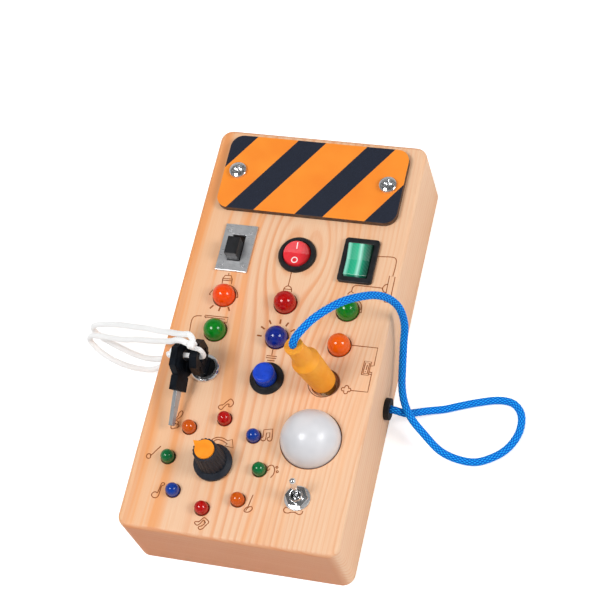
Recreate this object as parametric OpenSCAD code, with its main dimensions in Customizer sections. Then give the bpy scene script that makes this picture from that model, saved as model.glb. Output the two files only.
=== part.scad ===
// Wooden busy board: a pine block with switches, lamps, a key lock and a patch cord.
// Millimetres. Origin: centre of the underside. +X right, +Y towards the striped cover, +Z up.

/* [Case] */
// Width of the wooden block
case_w = 100; // [96:1:120]
// Length of the wooden block
case_l = 200; // [196:1:230]
// Height of the wooden block
case_h = 38; // [36:0.5:46]
// Radius of the upright corners
corner_r = 5.5; // [4:0.5:8]
// Radius of the eased top edges
edge_r = 1.75; // [1:0.25:3]
// Wood left above the hollow
top_t = 5; // [4:0.25:6]
// Wood left in the side walls
wall_t = 8; // [6:0.5:9]
// Thickness of the back panel
back_t = 3; // [2:0.25:5]
// Wood left round the back panel
back_lip = 4; // [2.5:0.25:4.5]
// Distance of the back screws from the edges of the block
back_screw_inset = 11; // [10:0.25:12]
// Thread diameter of the back screws
back_screw_d = 2.5; // [2:0.1:3]

/* [Battery bay] */
// Width of the striped cover
cover_w = 86; // [82:1:90]
// Length of the striped cover
cover_l = 38.5; // [38:0.25:42]
// Thickness of the striped cover
cover_t = 3; // [2:0.25:5]
// Corner radius of the striped cover
cover_r = 6; // [3:0.5:9]
// Distance of the cover from the far end of the block
cover_gap = 4; // [3:0.5:5]
// Distance of the cover screws from the cover's short sides
cover_screw_inset = 7; // [6:0.25:8]
// Head diameter of the cover screws
cover_screw_head = 8; // [6:0.25:9]
// Thread diameter of the cover screws
cover_screw_d = 3; // [2.5:0.1:3.5]
// Diameter of one cell
cell_d = 10.5; // [9.5:0.1:10.6]
// Length of one cell
cell_len = 44.5; // [40:0.5:46]
// Depth of the bay below the top of the block
bay_depth = 14.5; // [14:0.25:18]

/* [Layout] */
// Distance of the outer columns from the sides of the block
col_inset = 21; // [20:0.5:23]
// Shift of the middle column to the right
col_shift = 1; // [-1:0.25:2]
// Distance of the switch row from the striped cover
switch_gap = 19.3; // [18:0.1:21]
// Places of the two rows of large lamps, as shares of the way from the lock row to the switch row
lamp_rows = [0.5965, 0.31];
// Place of the lock, button and socket row, as a share of the length from the middle
lock_share = 0.1125; // [0.11:0.0025:0.12]
// Place of the knob, as a share of the width left of the middle
knob_side_share = 0.1325; // [0.125:0.0025:0.14]
// Place of the knob, as a share of the length from the middle
knob_share = 0.33; // [0.32:0.0025:0.34]
// Radius of the ring of small lamps round the knob
ring_r = 21; // [18:0.5:22]
// Place of the dome lamp, as a share of the length from the middle
dome_share = 0.245; // [0.24:0.0025:0.25]
// Place of the toggle switch, as a share of the width right of the middle
toggle_side_share = 0.272; // [0.25:0.002:0.29]
// Place of the toggle switch, as a share of the length from the middle
toggle_share = 0.381; // [0.375:0.0025:0.39]

/* [Slide switch] */
// Width of the steel frame
slide_frame_w = 15.2; // [14:0.2:16]
// Length of the steel frame
slide_frame_l = 23.8; // [22:0.2:26]
// Thickness of the steel frame
slide_frame_t = 1.2; // [0.8:0.1:1.6]
// Width of the lever
slide_lever_w = 5.8; // [5:0.1:7]
// Length of the lever along its travel
slide_lever_l = 8.8; // [7:0.1:9]
// Height of the lever above the wood
slide_lever_h = 8; // [6:0.25:10]
// Travel of the lever
slide_travel = 4.2; // [3:0.1:4.5]

/* [Rocker switches] */
// Outer diameter of the round bezel
round_bezel_d = 17.7; // [17:0.1:19]
// Diameter of the round rocker's ball body
round_ball_d = 12.9; // [11:0.1:13.2]
// Height of both bezels above the wood
bezel_h = 2; // [1.5:0.1:2.5]
// Width of the square bezel
square_bezel_w = 16; // [15.6:0.1:17]
// Length of the square bezel
square_bezel_l = 22; // [21.6:0.1:24]
// Width of the square rocker
square_rocker_w = 10.8; // [9:0.1:11]
// Length of the square rocker
square_rocker_l = 16.4; // [14:0.1:16.6]
// Full swing of both rockers
rocker_swing = 16; // [10:1:18]

/* [Key lock] */
// Thread diameter of the lock barrel
lock_d = 12; // [11.6:0.1:12.4]
// Diameter of the lock bezel
lock_bezel_d = 13.6; // [13.4:0.1:15]
// Diameter of the turning core
core_d = 9.8; // [9:0.1:10]
// Width of the key blades
blade_w = 3.2; // [2.6:0.1:6.6]
// Thickness of the key blades
blade_t = 2; // [1.6:0.1:2.2]
// Length of the key blades
blade_len = 15.5; // [14:0.5:16]
// Width of the key heads
head_w = 14; // [13:0.25:15]
// Length of the key heads
head_l = 22; // [21:0.25:23]
// Thickness of the key heads
head_t = 3.4; // [3:0.1:3.6]
// Width of the collar between a key's head and its blade
collar_w = 7.6; // [7:0.1:8]
// Length of the collar
collar_l = 6.5; // [6:0.1:7]
// Spacing of the two key heads
key_gap = 7; // [6.8:0.1:7.4]
// Droop of the spare key below the level
spare_droop = 15; // [10:1:16]
// Roll of the spare key about its own length
spare_roll = 20; // [10:1:22]

/* [Push button] */
// Bezel diameter of the push button
push_bezel_d = 15.4; // [14.5:0.1:17]
// Thread diameter of the push button
push_d = 12; // [11.6:0.1:12.4]
// Diameter of the push cap
push_cap_d = 9.7; // [8.5:0.1:10]
// Height of the cap above the wood
push_cap_h = 8; // [6:0.25:9]
// Travel of the push cap
push_travel = 3; // [1.5:0.1:3.5]

/* [Knob] */
// Diameter of the knob's skirt
skirt_d = 17.2; // [15:0.2:19]
// Diameter of the grip at its foot
grip_d = 13; // [12.4:0.1:13.6]
// Height of the knob from skirt to cap
knob_h = 16.4; // [14:0.2:18]
// Diameter of the shaft
shaft_d = 6; // [5:0.1:6.2]
// Direction of the pointer from +X
pointer_angle = 151; // [0:1:359]

/* [Toggle switch] */
// Thread diameter of the toggle bushing
toggle_d = 6; // [5.8:0.1:6.4]
// Height of the bushing above the wood
toggle_neck_h = 5; // [4:0.25:6]
// Length of the bat lever from its pivot
bat_len = 14.5; // [12:0.25:18]
// Full swing of the bat lever
bat_swing = 24; // [16:1:26]

/* [Lamps] */
// Diameter of the large lamps
big_led_d = 10.1; // [9:0.1:10.2]
// Diameter of the small lamps
small_led_d = 6; // [5:0.1:6.2]
// Diameter of the dome lamp
dome_d = 26.6; // [24:0.2:27.6]
// Wall of the dome lamp
dome_wall = 1.2; // [0.8:0.1:2]

/* [Plug and cords] */
// Diameter of the plug body
plug_d = 11.4; // [10:0.1:11.6]
// Length of the plug from foot to cord
plug_len = 36.6; // [34:0.1:38]
// Diameter of the plug neck
plug_neck_d = 7.6; // [6:0.1:8]
// Lean of the plug to the left
plug_lean = 10; // [4:1:11]
// Diameter of the plug pin
pin_d = 6.3; // [5:0.1:6.4]
// Length of the plug pin
pin_len = 16; // [10:0.5:17]
// Diameter of the plug hole in the wood
plug_hole_d = 13.2; // [13:0.1:15]
// Depth of the plug hole in the wood
plug_hole_depth = 4.5; // [4.5:0.25:6]
// Diameter of the patch cord
cord_d = 3.6; // [3:0.1:4]
// Diameter of the lanyard
lanyard_d = 2.8; // [2.4:0.1:3]
// Diameter of the rubber grommets
grommet_d = 10; // [9.6:0.1:12]
// Height of the grommets above the underside
grommet_z = 12; // [11:0.25:14]

/* [Control board] */
// Width of the control board
board_w = 62; // [50:1:66]
// Length of the control board
board_l = 58; // [50:1:59]
// Clear height under the control board
board_rise = 6; // [4:0.5:7]

/* [Hidden] */
$fn = 48;
fit = 0.2;             // clearance of a part in its cut-out
run = 0.08;            // radial clearance of a turning or sliding part
eps = 0.01;
sunk = 0.15;           // back screw heads below the face of the panel
sunk_head = 1.6;
under = case_h - top_t;                 // underside of the wooden top
cover_low_y = case_l / 2 - cover_gap - cover_l;
col_pitch = case_w / 2 - col_inset;
col = [-col_pitch + col_shift, col_shift, col_pitch + col_shift];
switch_y = cover_low_y - switch_gap;
lock_y = -case_l * lock_share;
push_y = lock_y - 1;
knob_x = -case_w * knob_side_share;
knob_y = -case_l * knob_share;
toggle_x = case_w * toggle_side_share;
toggle_y = -case_l * toggle_share;
hollow_top_y = cover_low_y - 4;
hollow_low_y = -case_l / 2 + wall_t;
way_in = 6;                             // battery wires' way through the wood: from the hollow's edge
way_d = 4;
way_up = 4;                             // and above the floor of the bay
mid_screw_up = 7;                       // middle back screws above the hollow
hollow_r = 14;                          // corner radius of the hollow: leaves wood for the screws
cover_y = case_l / 2 - cover_gap - cover_l / 2;
cover_screw_x = cover_w / 2 - cover_screw_inset;
cell_pitch = cell_d + 0.2;
tray_wall = 1.2;
tray_corner = 1;
tray_w = cell_len + 3 + 2 * tray_wall;
tray_l = 3 * cell_pitch + 2 * tray_wall - 0.6;
bay_floor = case_h - bay_depth;
slide_slot_l = slide_lever_l + slide_travel + 2 * fit;
slide_slot_w = slide_lever_w + 2 * fit;
slide_y = switch_y - slide_travel / 2;  // the lever rests at the near end
slide_body_w = slide_frame_w - 1.6;
slide_body_l = slide_frame_l - 3.4;
slide_body_depth = 11;
slide_foot_t = 2;
slide_foot_over = 1.6;                  // how far the foot reaches under the frame
pivot_up = 0.5;                         // rocker pivot above the wood
round_bore_d = round_ball_d + 0.5;
round_body_d = round_bezel_d - 2.9;
round_depth = 13;
square_bore_w = square_rocker_w + 0.4;
square_bore_l = square_rocker_l + 0.6;
square_body_w = square_bezel_w - 2.8;
square_body_l = square_bezel_l - 2.8;
square_depth = 13;
rocker_v = 8;                           // slope of each half of a rocker
ball_cut = 2.7;                         // top of the round rocker's middle above its pivot
pad_cut = 2.4;                          // top of the square rocker's middle above its pivot
lock_top = 2;
lock_depth = 20;
hole_to_end = 6;                        // cord hole to the free end of a key head
cord_hole_d = 5;
head_foot = head_l - hole_to_end;       // cord hole to the foot of the head
key_sink = 4;                           // collar inside the lock
collar_t = 3.8;
head_cut = 3.8;                         // cut corners of the key heads
grip_rib = 0.35;                        // ribs on the key heads stand this proud
key_z = case_h + lock_top - key_sink + head_foot;
spare_low = 1.5;                        // the spare key hangs lower than the key in the lock
loop_d = 2.3;                           // cord where it passes through the key heads
loop_r = 2.4;
loop_side = head_t / 2 + 0.3 + loop_d / 2;  // leg of the cord beside the key in the lock
loop_low = 0.4 - spare_low;
loop_top = hole_to_end + loop_d / 2 + 0.9;
stop_d = 5.6;                           // knot at the far side of the spare head
stop_x = key_gap + head_t / 2 / cos(spare_roll) + cord_hole_d / 2 * tan(spare_roll) + 2.4;
knot_d = 4.4;
knot_z = key_z + loop_top + loop_d / 2 + 0.1 + knot_d / 2;
strand_gap = lanyard_d / 2 + 0.3;       // from the grommet's axis to each strand
push_bore_d = push_cap_d + 0.5;
push_bezel_h = 2.2;
push_floor = push_travel + 6;           // depth of the cap's pocket below the wood
push_stem = push_floor + 3.4;
push_depth = push_stem + push_travel + 1.6;
knob_lift = 0.8;                        // gap under the knob's skirt
pot_d = 16.5;
pot_h = 8;
pot_thread_d = 7;
pot_neck_h = 2.4;
bat_pivot = 0.5;
bat_ball_d = 4.2;
toggle_bore_d = bat_ball_d + 2 * run;
washer_t = 0.6;
hex_sides = 6;
nut_over = 3;                           // nuts across the flats, above their thread
lock_nut_t = 3;
push_nut_t = 2.5;
pot_nut_t = 2;
toggle_nut_t = 2;
led_lift = 1.8;                         // centre of a lamp's dome above the wood
led_flange = 0.6;
led_flange_t = 1;
led_tail = 2;                           // lamp below its flange
leg_len = 7;
leg_gap = 2.5;
dome_flange = 1;
dome_flange_t = 1.2;
dome_side_gap = 0.7;                    // between the dome's flange and the side wall
dome_x = case_w / 2 - wall_t - dome_side_gap - dome_d / 2 - dome_flange;
dome_y = -case_l * dome_share;
dome_z = case_h;
dome_board_t = 1.6;
plug_foot_at = 3;                       // foot of the plug along the leaning axis, clear of the wood
plug_flare = 0.7;                       // the handle widens by this towards its shoulder
jack_x = col[2] - 2.4;
jack_y = lock_y + 0.5;
boss_r = 11;
boss_h = 7;
jack_bush_d = 9;
jack_seat = 2 - plug_hole_depth - 0.9;   // top of the socket along the leaning axis
jack_box = 11;
jack_box_top = -(case_h - 2 - (under - boss_h) + jack_box / 2 * sin(plug_lean) + 0.2)
    / cos(plug_lean);
plug_body_len = 22.4;
plug_cone_len = 2.6;
right_grommet_y = -20;
left_grommet_y = -9;
flange_t = 2.5;
grommet_neck_d = 7.8;
inner_flange_t = 1.5;
board_t = 1.6;
board_x = -3;
board_gap = 3;                          // board to the near wall of the hollow
board_y = hollow_low_y + board_gap + board_l / 2;
board_z = back_t + board_rise;
post_d = 5;
post_in = 4;                            // posts from the board's edges
wire_d = 1.2;
loom_d = 3.6;
loom_x = -13.5;
loom_z = 15.5;
loom_from_y = board_y + board_l / 2 - 6;

// Route of the patch cord: out of the right wall, round on the table, up and over into the plug
cord_route = [
    [59, -20, 9.5], [62, -18, 6.5], [67, -15, 3.2], [74.5, -12.5, 1.9], [81, -10, 1.9],
    [88, -7.5, 1.9], [97.5, -5, 1.9], [104, -5.5, 1.9], [108, -9, 1.9], [109.5, -14, 1.9],
    [109, -20, 1.9], [106, -26.5, 1.9], [101, -31.5, 1.9], [93, -35.5, 1.9], [84.5, -35.5, 2.2],
    [76.5, -33.5, 4.5], [69, -28.5, 9], [62.5, -23, 12.2], [58.5, -17, 13.5], [56, -10, 14.5],
    [55, -2, 17.5], [55, 6.5, 25], [56, 11.5, 35], [55, 14, 46], [52, 13.5, 56],
    [48, 10.5, 64.5], [43.5, 5.5, 72], [38.5, -0.5, 78.5], [33, -7.5, 82.5], [28.5, -13, 83.5],
    [25, -17.5, 82.5], [22, -20.5, 79.5]];
// Routes of the lanyard's two strands: out of the left wall, round on the table, up over the edge
// of the case and on to the knot above the keys
strand_a = [
    [-57, -7, 10], [-62, -7, 5.5], [-67, -6.5, 2.5], [-73, -6, 1.6], [-81.5, -4, 1.6],
    [-90, -1, 1.6], [-95, 1, 2.2], [-98.5, 2.5, 5], [-98.5, 3, 9], [-95, 3, 12.5],
    [-89.5, 2.5, 15.5], [-79, -0.5, 24], [-68, -4, 32], [-59, -7, 39], [-51.5, -9.5, 43.5],
    [-44.5, -12, 49.5], [-40, -14.5, 55], [-36, -16.5, 59.5], [-33, -17.5, 62], [-30, -18, 63.5]];
strand_b = [
    [-57, -11, 10], [-62, -11.5, 5.5], [-67, -12, 2.5], [-71.5, -12, 1.6], [-78.5, -11.5, 1.6],
    [-86.5, -9.5, 1.6], [-92.5, -7, 1.6], [-97, -4.5, 2.6], [-99.5, -2.5, 5.6], [-98, -2, 9.5],
    [-94, -2.5, 12], [-86, -4, 15.5], [-76, -7, 22.5], [-66.5, -9.5, 30.5], [-58, -12, 37],
    [-50, -14, 43], [-44.5, -16, 48.5], [-40.5, -18, 54], [-36.5, -20, 60.5], [-33, -21, 63]];

// ---- shapes that repeat ----

module rounded_plate(w, l, r, t) {
    linear_extrude(t) union() {
        square([w - 2 * r, l], center = true);
        square([w, l - 2 * r], center = true);
        for (x = [-1, 1], y = [-1, 1])
            translate([x * (w / 2 - r), y * (l / 2 - r)]) circle(r);
    }
}

module centre_box(w, l, h) {
    translate([-w / 2, -l / 2, 0]) cube([w, l, h]);
}

// Block with round upright corners and eased top edges
module eased_block(w, l, h, r, e) {
    union() {
        rounded_plate(w, l, r, h - e);
        rounded_plate(w - 2 * e, l - 2 * e, r - e, h);
        for (x = [-1, 1], y = [-1, 1])
            translate([x * (w / 2 - r), y * (l / 2 - r), h - e])
                rotate_extrude() translate([r - e, 0]) intersection() {
                    circle(e);
                    translate([0, -e]) square([e, 2 * e]);
                }
        for (x = [-1, 1])
            translate([x * (w / 2 - e), l / 2 - r, h - e]) rotate([90, 0, 0])
                cylinder(r = e, h = l - 2 * r);
        for (y = [-1, 1])
            translate([-w / 2 + r, y * (l / 2 - e), h - e]) rotate([0, 90, 0])
                cylinder(r = e, h = w - 2 * r);
    }
}

module hex_nut(across, bore, t) {
    difference() {
        cylinder(d = across / cos(30), h = t, $fn = hex_sides);
        translate([0, 0, -1]) cylinder(d = bore, h = t + 2);
    }
}

module ring(od, id, t) {
    difference() {
        cylinder(d = od, h = t);
        translate([0, 0, -1]) cylinder(d = id, h = t + 2);
    }
}

module pan_screw(head_d, thread_d, len) {
    head_h = head_d * 0.32;
    union() {
        translate([0, 0, -len]) cylinder(d = thread_d, h = len + eps);
        difference() {
            intersection() {
                cylinder(d = head_d, h = head_h);
                translate([0, 0, head_h - head_d]) sphere(head_d);
            }
            for (a = [0, 90]) rotate([0, 0, a])
                translate([-head_d * 0.26, -head_d * 0.06, head_h * 0.45])
                    cube([head_d * 0.52, head_d * 0.12, head_h]);
        }
    }
}

// Tube of one radius swept along points, its ends square to the first and last directions
function unit(v) = v / norm(v);
function tangents(p, first, last) = let (m = len(p) - 1) [
    for (i = [0:m]) i == 0 ? unit(first) : i == m ? unit(last) : unit(p[i + 1] - p[i - 1])];
function carried(n, t) = unit(n - (n * t) * t);

module tube(points, r, sides, first, last) {
    t = tangents(points, first, last);
    start = carried(abs(t[0][2]) < 0.9 ? [0, 0, 1] : [0, 1, 0], t[0]);
    side = [for (i = 0, n = start; i < len(points);
        i = i + 1, n = i < len(points) ? carried(n, t[i]) : n) n];
    rings = [for (i = [0:len(points) - 1], k = [0:sides - 1])
        points[i] + r * (cos(360 * k / sides) * side[i]
        + sin(360 * k / sides) * cross(t[i], side[i]))];
    m = len(points) - 1;
    walls = [for (i = [0:m - 1], k = [0:sides - 1]) let (j = (k + 1) % sides)
        each [[i * sides + k, (i + 1) * sides + k, (i + 1) * sides + j],
              [i * sides + k, (i + 1) * sides + j, i * sides + j]]];
    polyhedron(rings, concat(walls, [[for (k = [0:sides - 1]) k],
        [for (k = [sides - 1:-1:0]) m * sides + k]]), convexity = 8);
}

// ---- the wooden case ----

module case_body() {
    color("burlywood") difference() {
        eased_block(case_w, case_l, case_h, corner_r, edge_r);
        translate([0, 0, -1])
            rounded_plate(case_w - 2 * back_lip, case_l - 2 * back_lip, corner_r - back_lip / 2,
                back_t + 1);
        hollow();
        battery_bay();
        top_holes();
        plug_seat();
        translate([case_w / 2 - wall_t - 5, right_grommet_y, grommet_z]) rotate([0, 90, 0])
            cylinder(d = grommet_neck_d + fit, h = wall_t + 10);
        translate([-case_w / 2 - 5, left_grommet_y, grommet_z]) rotate([0, 90, 0])
            cylinder(d = grommet_neck_d + fit, h = wall_t + 10);
        for (p = back_screw_points()) translate([p[0], p[1], -1])
            cylinder(d = back_screw_d + 0.1, h = back_t + 11);
        for (x = [-1, 1]) translate([x * cover_screw_x, cover_y, case_h - 14])
            cylinder(d = cover_screw_d + 0.1, h = 20);
    }
}

module hollow() {
    difference() {
        translate([0, (hollow_top_y + hollow_low_y) / 2, -1])
            rounded_plate(case_w - 2 * wall_t, hollow_top_y - hollow_low_y, hollow_r, under + 1);
        translate([jack_x, jack_y, under - boss_h]) difference() {
            cylinder(r = boss_r, h = boss_h + 5);
            translate([dome_x - jack_x, dome_y - jack_y, -1])
                cylinder(r = dome_d / 2 + dome_flange + fit, h = boss_h + 2);
        }
    }
}

module battery_bay() {
    translate([0, cover_y, bay_floor])
        rounded_plate(tray_w + 2 * fit, tray_l + 2 * fit, tray_corner, 30);
    translate([0, hollow_top_y - way_in, bay_floor + way_up]) rotate([-90, 0, 0])
        cylinder(d = way_d, h = cover_y - tray_l / 2 - hollow_top_y + way_in + 2);
}

module top_holes() {
    translate([0, 0, under - 1]) {
        translate([col[0], switch_y]) centre_box(slide_body_w + 2 * fit, slide_body_l + 2 * fit, 20);
        translate([col[1], switch_y]) cylinder(d = round_body_d + 2 * fit, h = 20);
        translate([col[2], switch_y])
            centre_box(square_body_w + 2 * fit, square_body_l + 2 * fit, 20);
        for (p = big_lamp_points()) translate(p) cylinder(d = big_led_d + 2 * fit, h = 20);
        for (i = [0:7]) translate(ring_point(i)) cylinder(d = small_led_d + 2 * fit, h = 20);
        translate([col[0], lock_y]) cylinder(d = lock_d + 2 * fit, h = 20);
        translate([col[1], push_y]) cylinder(d = push_d + 2 * fit, h = 20);
        translate([knob_x, knob_y]) cylinder(d = pot_thread_d + 2 * fit, h = 20);
        translate([dome_x, dome_y]) cylinder(d = dome_d + 2 * fit, h = 20);
        translate([toggle_x, toggle_y]) cylinder(d = toggle_d + 2 * fit, h = 20);
    }
}

module plug_seat() {
    translate([jack_x, jack_y, case_h - plug_hole_depth]) cylinder(d = plug_hole_d, h = 20);
    jack_frame() translate([0, 0, -30]) cylinder(d = jack_bush_d + 2 * fit, h = 30);
}

module back_panel() {
    color("tan") difference() {
        rounded_plate(case_w - 2 * back_lip - 2 * fit, case_l - 2 * back_lip - 2 * fit,
            corner_r - back_lip / 2 - fit, back_t - 0.1);
        for (p = back_screw_points()) translate([p[0], p[1], -1]) {
            cylinder(d = back_screw_d + 2 * fit, h = back_t + 2);
            translate([0, 0, 1 - eps]) cylinder(d1 = back_screw_d * 2.3 + 0.6,
                d2 = back_screw_d + 2 * fit, h = sunk + sunk_head);
        }
    }
}

function back_screw_points() = let (x = case_w / 2 - back_screw_inset,
    y = case_l / 2 - back_screw_inset)
    [[-x, -y], [x, -y], [-x, y], [x, y], [-x, hollow_top_y + mid_screw_up],
    [x, hollow_top_y + mid_screw_up]];

module back_screws() {
    color("silver") for (p = back_screw_points()) translate([p[0], p[1], sunk]) difference() {
        union() {
            cylinder(d1 = back_screw_d * 2.3, d2 = back_screw_d, h = sunk_head);
            cylinder(d = back_screw_d, h = back_t + 8);
        }
        for (a = [0, 90]) rotate([0, 0, a]) translate([0, 0, -eps])
            centre_box(back_screw_d, 0.5, 0.6);
    }
}

module battery_cover() {
    color("orange") translate([0, cover_y, case_h]) difference() {
        rounded_plate(cover_w, cover_l, cover_r, cover_t);
        for (x = [-1, 1]) translate([x * cover_screw_x, 0, -1])
            cylinder(d = cover_screw_d + 2 * fit, h = cover_t + 2);
    }
}

module cover_screws() {
    color("silver") for (x = [-1, 1])
        translate([x * cover_screw_x, cover_y, case_h + cover_t])
            pan_screw(cover_screw_head, cover_screw_d, cover_t + 9);
}

module battery_tray() {
    color("dimgray") translate([0, cover_y, bay_floor]) difference() {
        rounded_plate(tray_w, tray_l, tray_corner, cell_d * 0.82);
        for (i = [-1:1]) translate([-cell_len / 2 - 1.5, i * cell_pitch, cell_d / 2 + tray_wall])
            rotate([0, 90, 0]) cylinder(d = cell_d + 0.1, h = cell_len + 3);
    }
}

module battery_cells() {
    color("seagreen") for (i = [-1:1]) translate([0, cover_y + i * cell_pitch,
        bay_floor + cell_d / 2 + tray_wall]) rotate([0, i == 0 ? -90 : 90, 0]) {
            translate([0, 0, -cell_len / 2]) cylinder(d = cell_d - 0.1, h = cell_len - 1);
            translate([0, 0, cell_len / 2 - 1 - eps]) cylinder(d = cell_d * 0.36, h = 1);
        }
}

module battery_contacts() {
    plate_t = 0.5;
    color("silver") for (i = [-1:1], s = [-1, 1])
        translate([0, cover_y + i * cell_pitch, bay_floor + cell_d / 2 + tray_wall])
            rotate([0, s * 90, 0]) {
                translate([0, 0, cell_len / 2 + 1.5 - plate_t]) cylinder(d = cell_d * 0.7, h = plate_t);
                translate([0, 0, cell_len / 2]) cylinder(d = cell_d * 0.3, h = 1.1);
            }
}

// ---- slide switch ----

module slide_frame() {
    tab = 1.6;
    color("silver") translate([col[0], switch_y, case_h]) {
        difference() {
            centre_box(slide_frame_w, slide_frame_l, slide_frame_t);
            translate([0, 0, -1]) centre_box(slide_slot_w, slide_slot_l, slide_frame_t + 2);
        }
        for (x = [-1, 1], y = [-1, 1])
            translate([x * (slide_frame_w / 2 - 2.6), y * (slide_frame_l / 2 - 3.2),
                slide_frame_t - eps]) centre_box(tab, tab * 1.2, 0.5);
    }
}

module slide_housing() {
    foot_l = slide_lever_l + 2 * slide_foot_over;
    color([0.1, 0.1, 0.1]) translate([col[0], switch_y, case_h - slide_body_depth]) difference() {
        centre_box(slide_body_w, slide_body_l, slide_body_depth);
        translate([0, 0, slide_body_depth - slide_foot_t - 2 * fit])
            centre_box(slide_lever_w + 2 * slide_foot_over + 2 * fit,
                foot_l + slide_travel + 2 * fit, 10);
    }
}

module slide_lever() {
    color([0.15, 0.15, 0.15]) translate([col[0], slide_y, case_h]) {
        translate([0, 0, -slide_foot_t]) centre_box(slide_lever_w + 2 * slide_foot_over,
            slide_lever_l + 2 * slide_foot_over, slide_foot_t - fit);
        translate([0, 0, -slide_foot_t]) centre_box(slide_lever_w, slide_lever_l,
            slide_foot_t + slide_lever_h);
    }
}

// ---- rocker switches ----

module round_rocker_housing() {
    color([0.12, 0.12, 0.12]) translate([col[1], switch_y, case_h]) difference() {
        union() {
            cylinder(d = round_bezel_d, h = bezel_h * 0.5);
            translate([0, 0, bezel_h * 0.5 - eps])
                cylinder(d1 = round_bezel_d, d2 = round_bezel_d - 1.4, h = bezel_h * 0.5);
            translate([0, 0, -round_depth]) cylinder(d = round_body_d, h = round_depth + eps);
        }
        translate([0, 0, pivot_up - round_ball_d / 2 - 1]) cylinder(d = round_bore_d, h = 20);
    }
}

module round_rocker_button() {
    r = round_ball_d / 2;
    rise = r * tan(rocker_v);
    color("red") translate([col[1], switch_y, case_h + pivot_up]) rotate([rocker_swing / 2, 0, 0])
        intersection() {
            sphere(r);
            rotate([90, 0, 90]) translate([0, 0, -r]) linear_extrude(2 * r)
                polygon([[-r, -r * 0.7], [r, -r * 0.7], [r, ball_cut + rise], [0, ball_cut],
                    [-r, ball_cut + rise]]);
        }
}

module square_rocker_housing() {
    color([0.12, 0.12, 0.12]) translate([col[2], switch_y, case_h]) difference() {
        union() {
            rounded_plate(square_bezel_w, square_bezel_l, 1.5, bezel_h);
            translate([0, 0, -square_depth])
                centre_box(square_body_w, square_body_l, square_depth + eps);
        }
        translate([0, 0, pivot_up - square_rocker_l / 2 - 1])
            centre_box(square_bore_w, square_bore_l, 30);
    }
}

module square_rocker_button() {
    r = square_rocker_l / 2;
    rise = r * tan(rocker_v);
    color("mediumseagreen") translate([col[2], switch_y, case_h + pivot_up])
        rotate([rocker_swing / 2, 0, 0]) intersection() {
            rotate([0, 90, 0]) cylinder(r = r, h = square_rocker_w, center = true);
            rotate([90, 0, 90]) translate([0, 0, -r]) linear_extrude(2 * r)
                polygon([[-r, -r * 0.7], [r, -r * 0.7], [r, pad_cut + rise], [0, pad_cut],
                    [-r, pad_cut + rise]]);
        }
}

// ---- key lock, keys and lanyard ----

module lock_barrel() {
    color("silver") translate([col[0], lock_y, case_h]) difference() {
        union() {
            cylinder(d = lock_bezel_d, h = lock_top * 0.6);
            translate([0, 0, lock_top * 0.6 - eps])
                cylinder(d1 = lock_bezel_d, d2 = lock_bezel_d - 1.2, h = lock_top * 0.4);
            translate([0, 0, -lock_depth]) cylinder(d = lock_d, h = lock_depth + eps);
        }
        translate([0, 0, 1.2 - lock_depth]) cylinder(d = core_d + 2 * run, h = lock_depth + 10);
    }
}

module lock_nut() {
    color("silver") translate([col[0], lock_y, under - lock_nut_t])
        hex_nut(lock_d + nut_over, lock_d + 0.1, lock_nut_t - 0.05);
}

module lock_core() {
    color([0.1, 0.1, 0.1]) translate([col[0], lock_y, case_h]) difference() {
        translate([0, 0, 1.4 - lock_depth]) cylinder(d = core_d, h = lock_depth);
        translate([0, 0, lock_top - key_sink - blade_len - 0.5])
            centre_box(blade_t + 2 * run, blade_w + 2 * run, blade_len + 10);
        translate([0, 0, lock_top - key_sink - 0.3])
            centre_box(collar_t + 2 * run, collar_w + 2 * run, key_sink + 2);
    }
}

// A key with its cord hole at the origin and its blade pointing down
module blade_shape() {
    tip_w = 0.6 * blade_w;
    translate([0, 0, -head_foot - blade_len]) rotate([90, 0, 90]) translate([0, 0, -blade_t / 2])
        linear_extrude(blade_t) polygon([[-tip_w / 2, 0], [tip_w / 2, 0],
            [blade_w / 2, blade_len - 2], [blade_w / 2, blade_len],
            [-blade_w / 2, blade_len], [-blade_w / 2, blade_len - 2]]);
}

module head_shape() {
    w = head_w / 2;
    c = head_cut;
    low = collar_l - head_foot;
    top = hole_to_end;
    difference() {
        union() {
            rotate([90, 0, 90]) translate([0, 0, -head_t / 2]) linear_extrude(head_t) polygon([
                [c - w, low], [w - c, low], [w, low + c], [w, top - c],
                [w - c, top], [c - w, top], [-w, top - c], [-w, low + c]]);
            translate([0, 0, -head_foot]) centre_box(collar_t, collar_w, collar_l + 0.1);
            for (y = [-1.5, -0.5, 0.5, 1.5]) translate([0, y * w / 2.2, low + c - 1.6])
                centre_box(head_t + 2 * grip_rib, 1, 5);
        }
        rotate([0, 90, 0]) cylinder(d = cord_hole_d, h = head_t + 2, center = true);
    }
}

module at_key() {
    translate([col[0], lock_y, key_z]) children();
}

module at_spare() {
    translate([col[0] - key_gap, lock_y, key_z - spare_low]) rotate([spare_droop - 90, 0, 0])
        rotate([0, 0, -spare_roll]) children();
}

module key_blade() { color("silver") at_key() blade_shape(); }
module key_head() { color([0.1, 0.1, 0.1]) at_key() head_shape(); }
module spare_blade() { color("silver") at_spare() blade_shape(); }
module spare_head() { color([0.1, 0.1, 0.1]) at_spare() head_shape(); }

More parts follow.
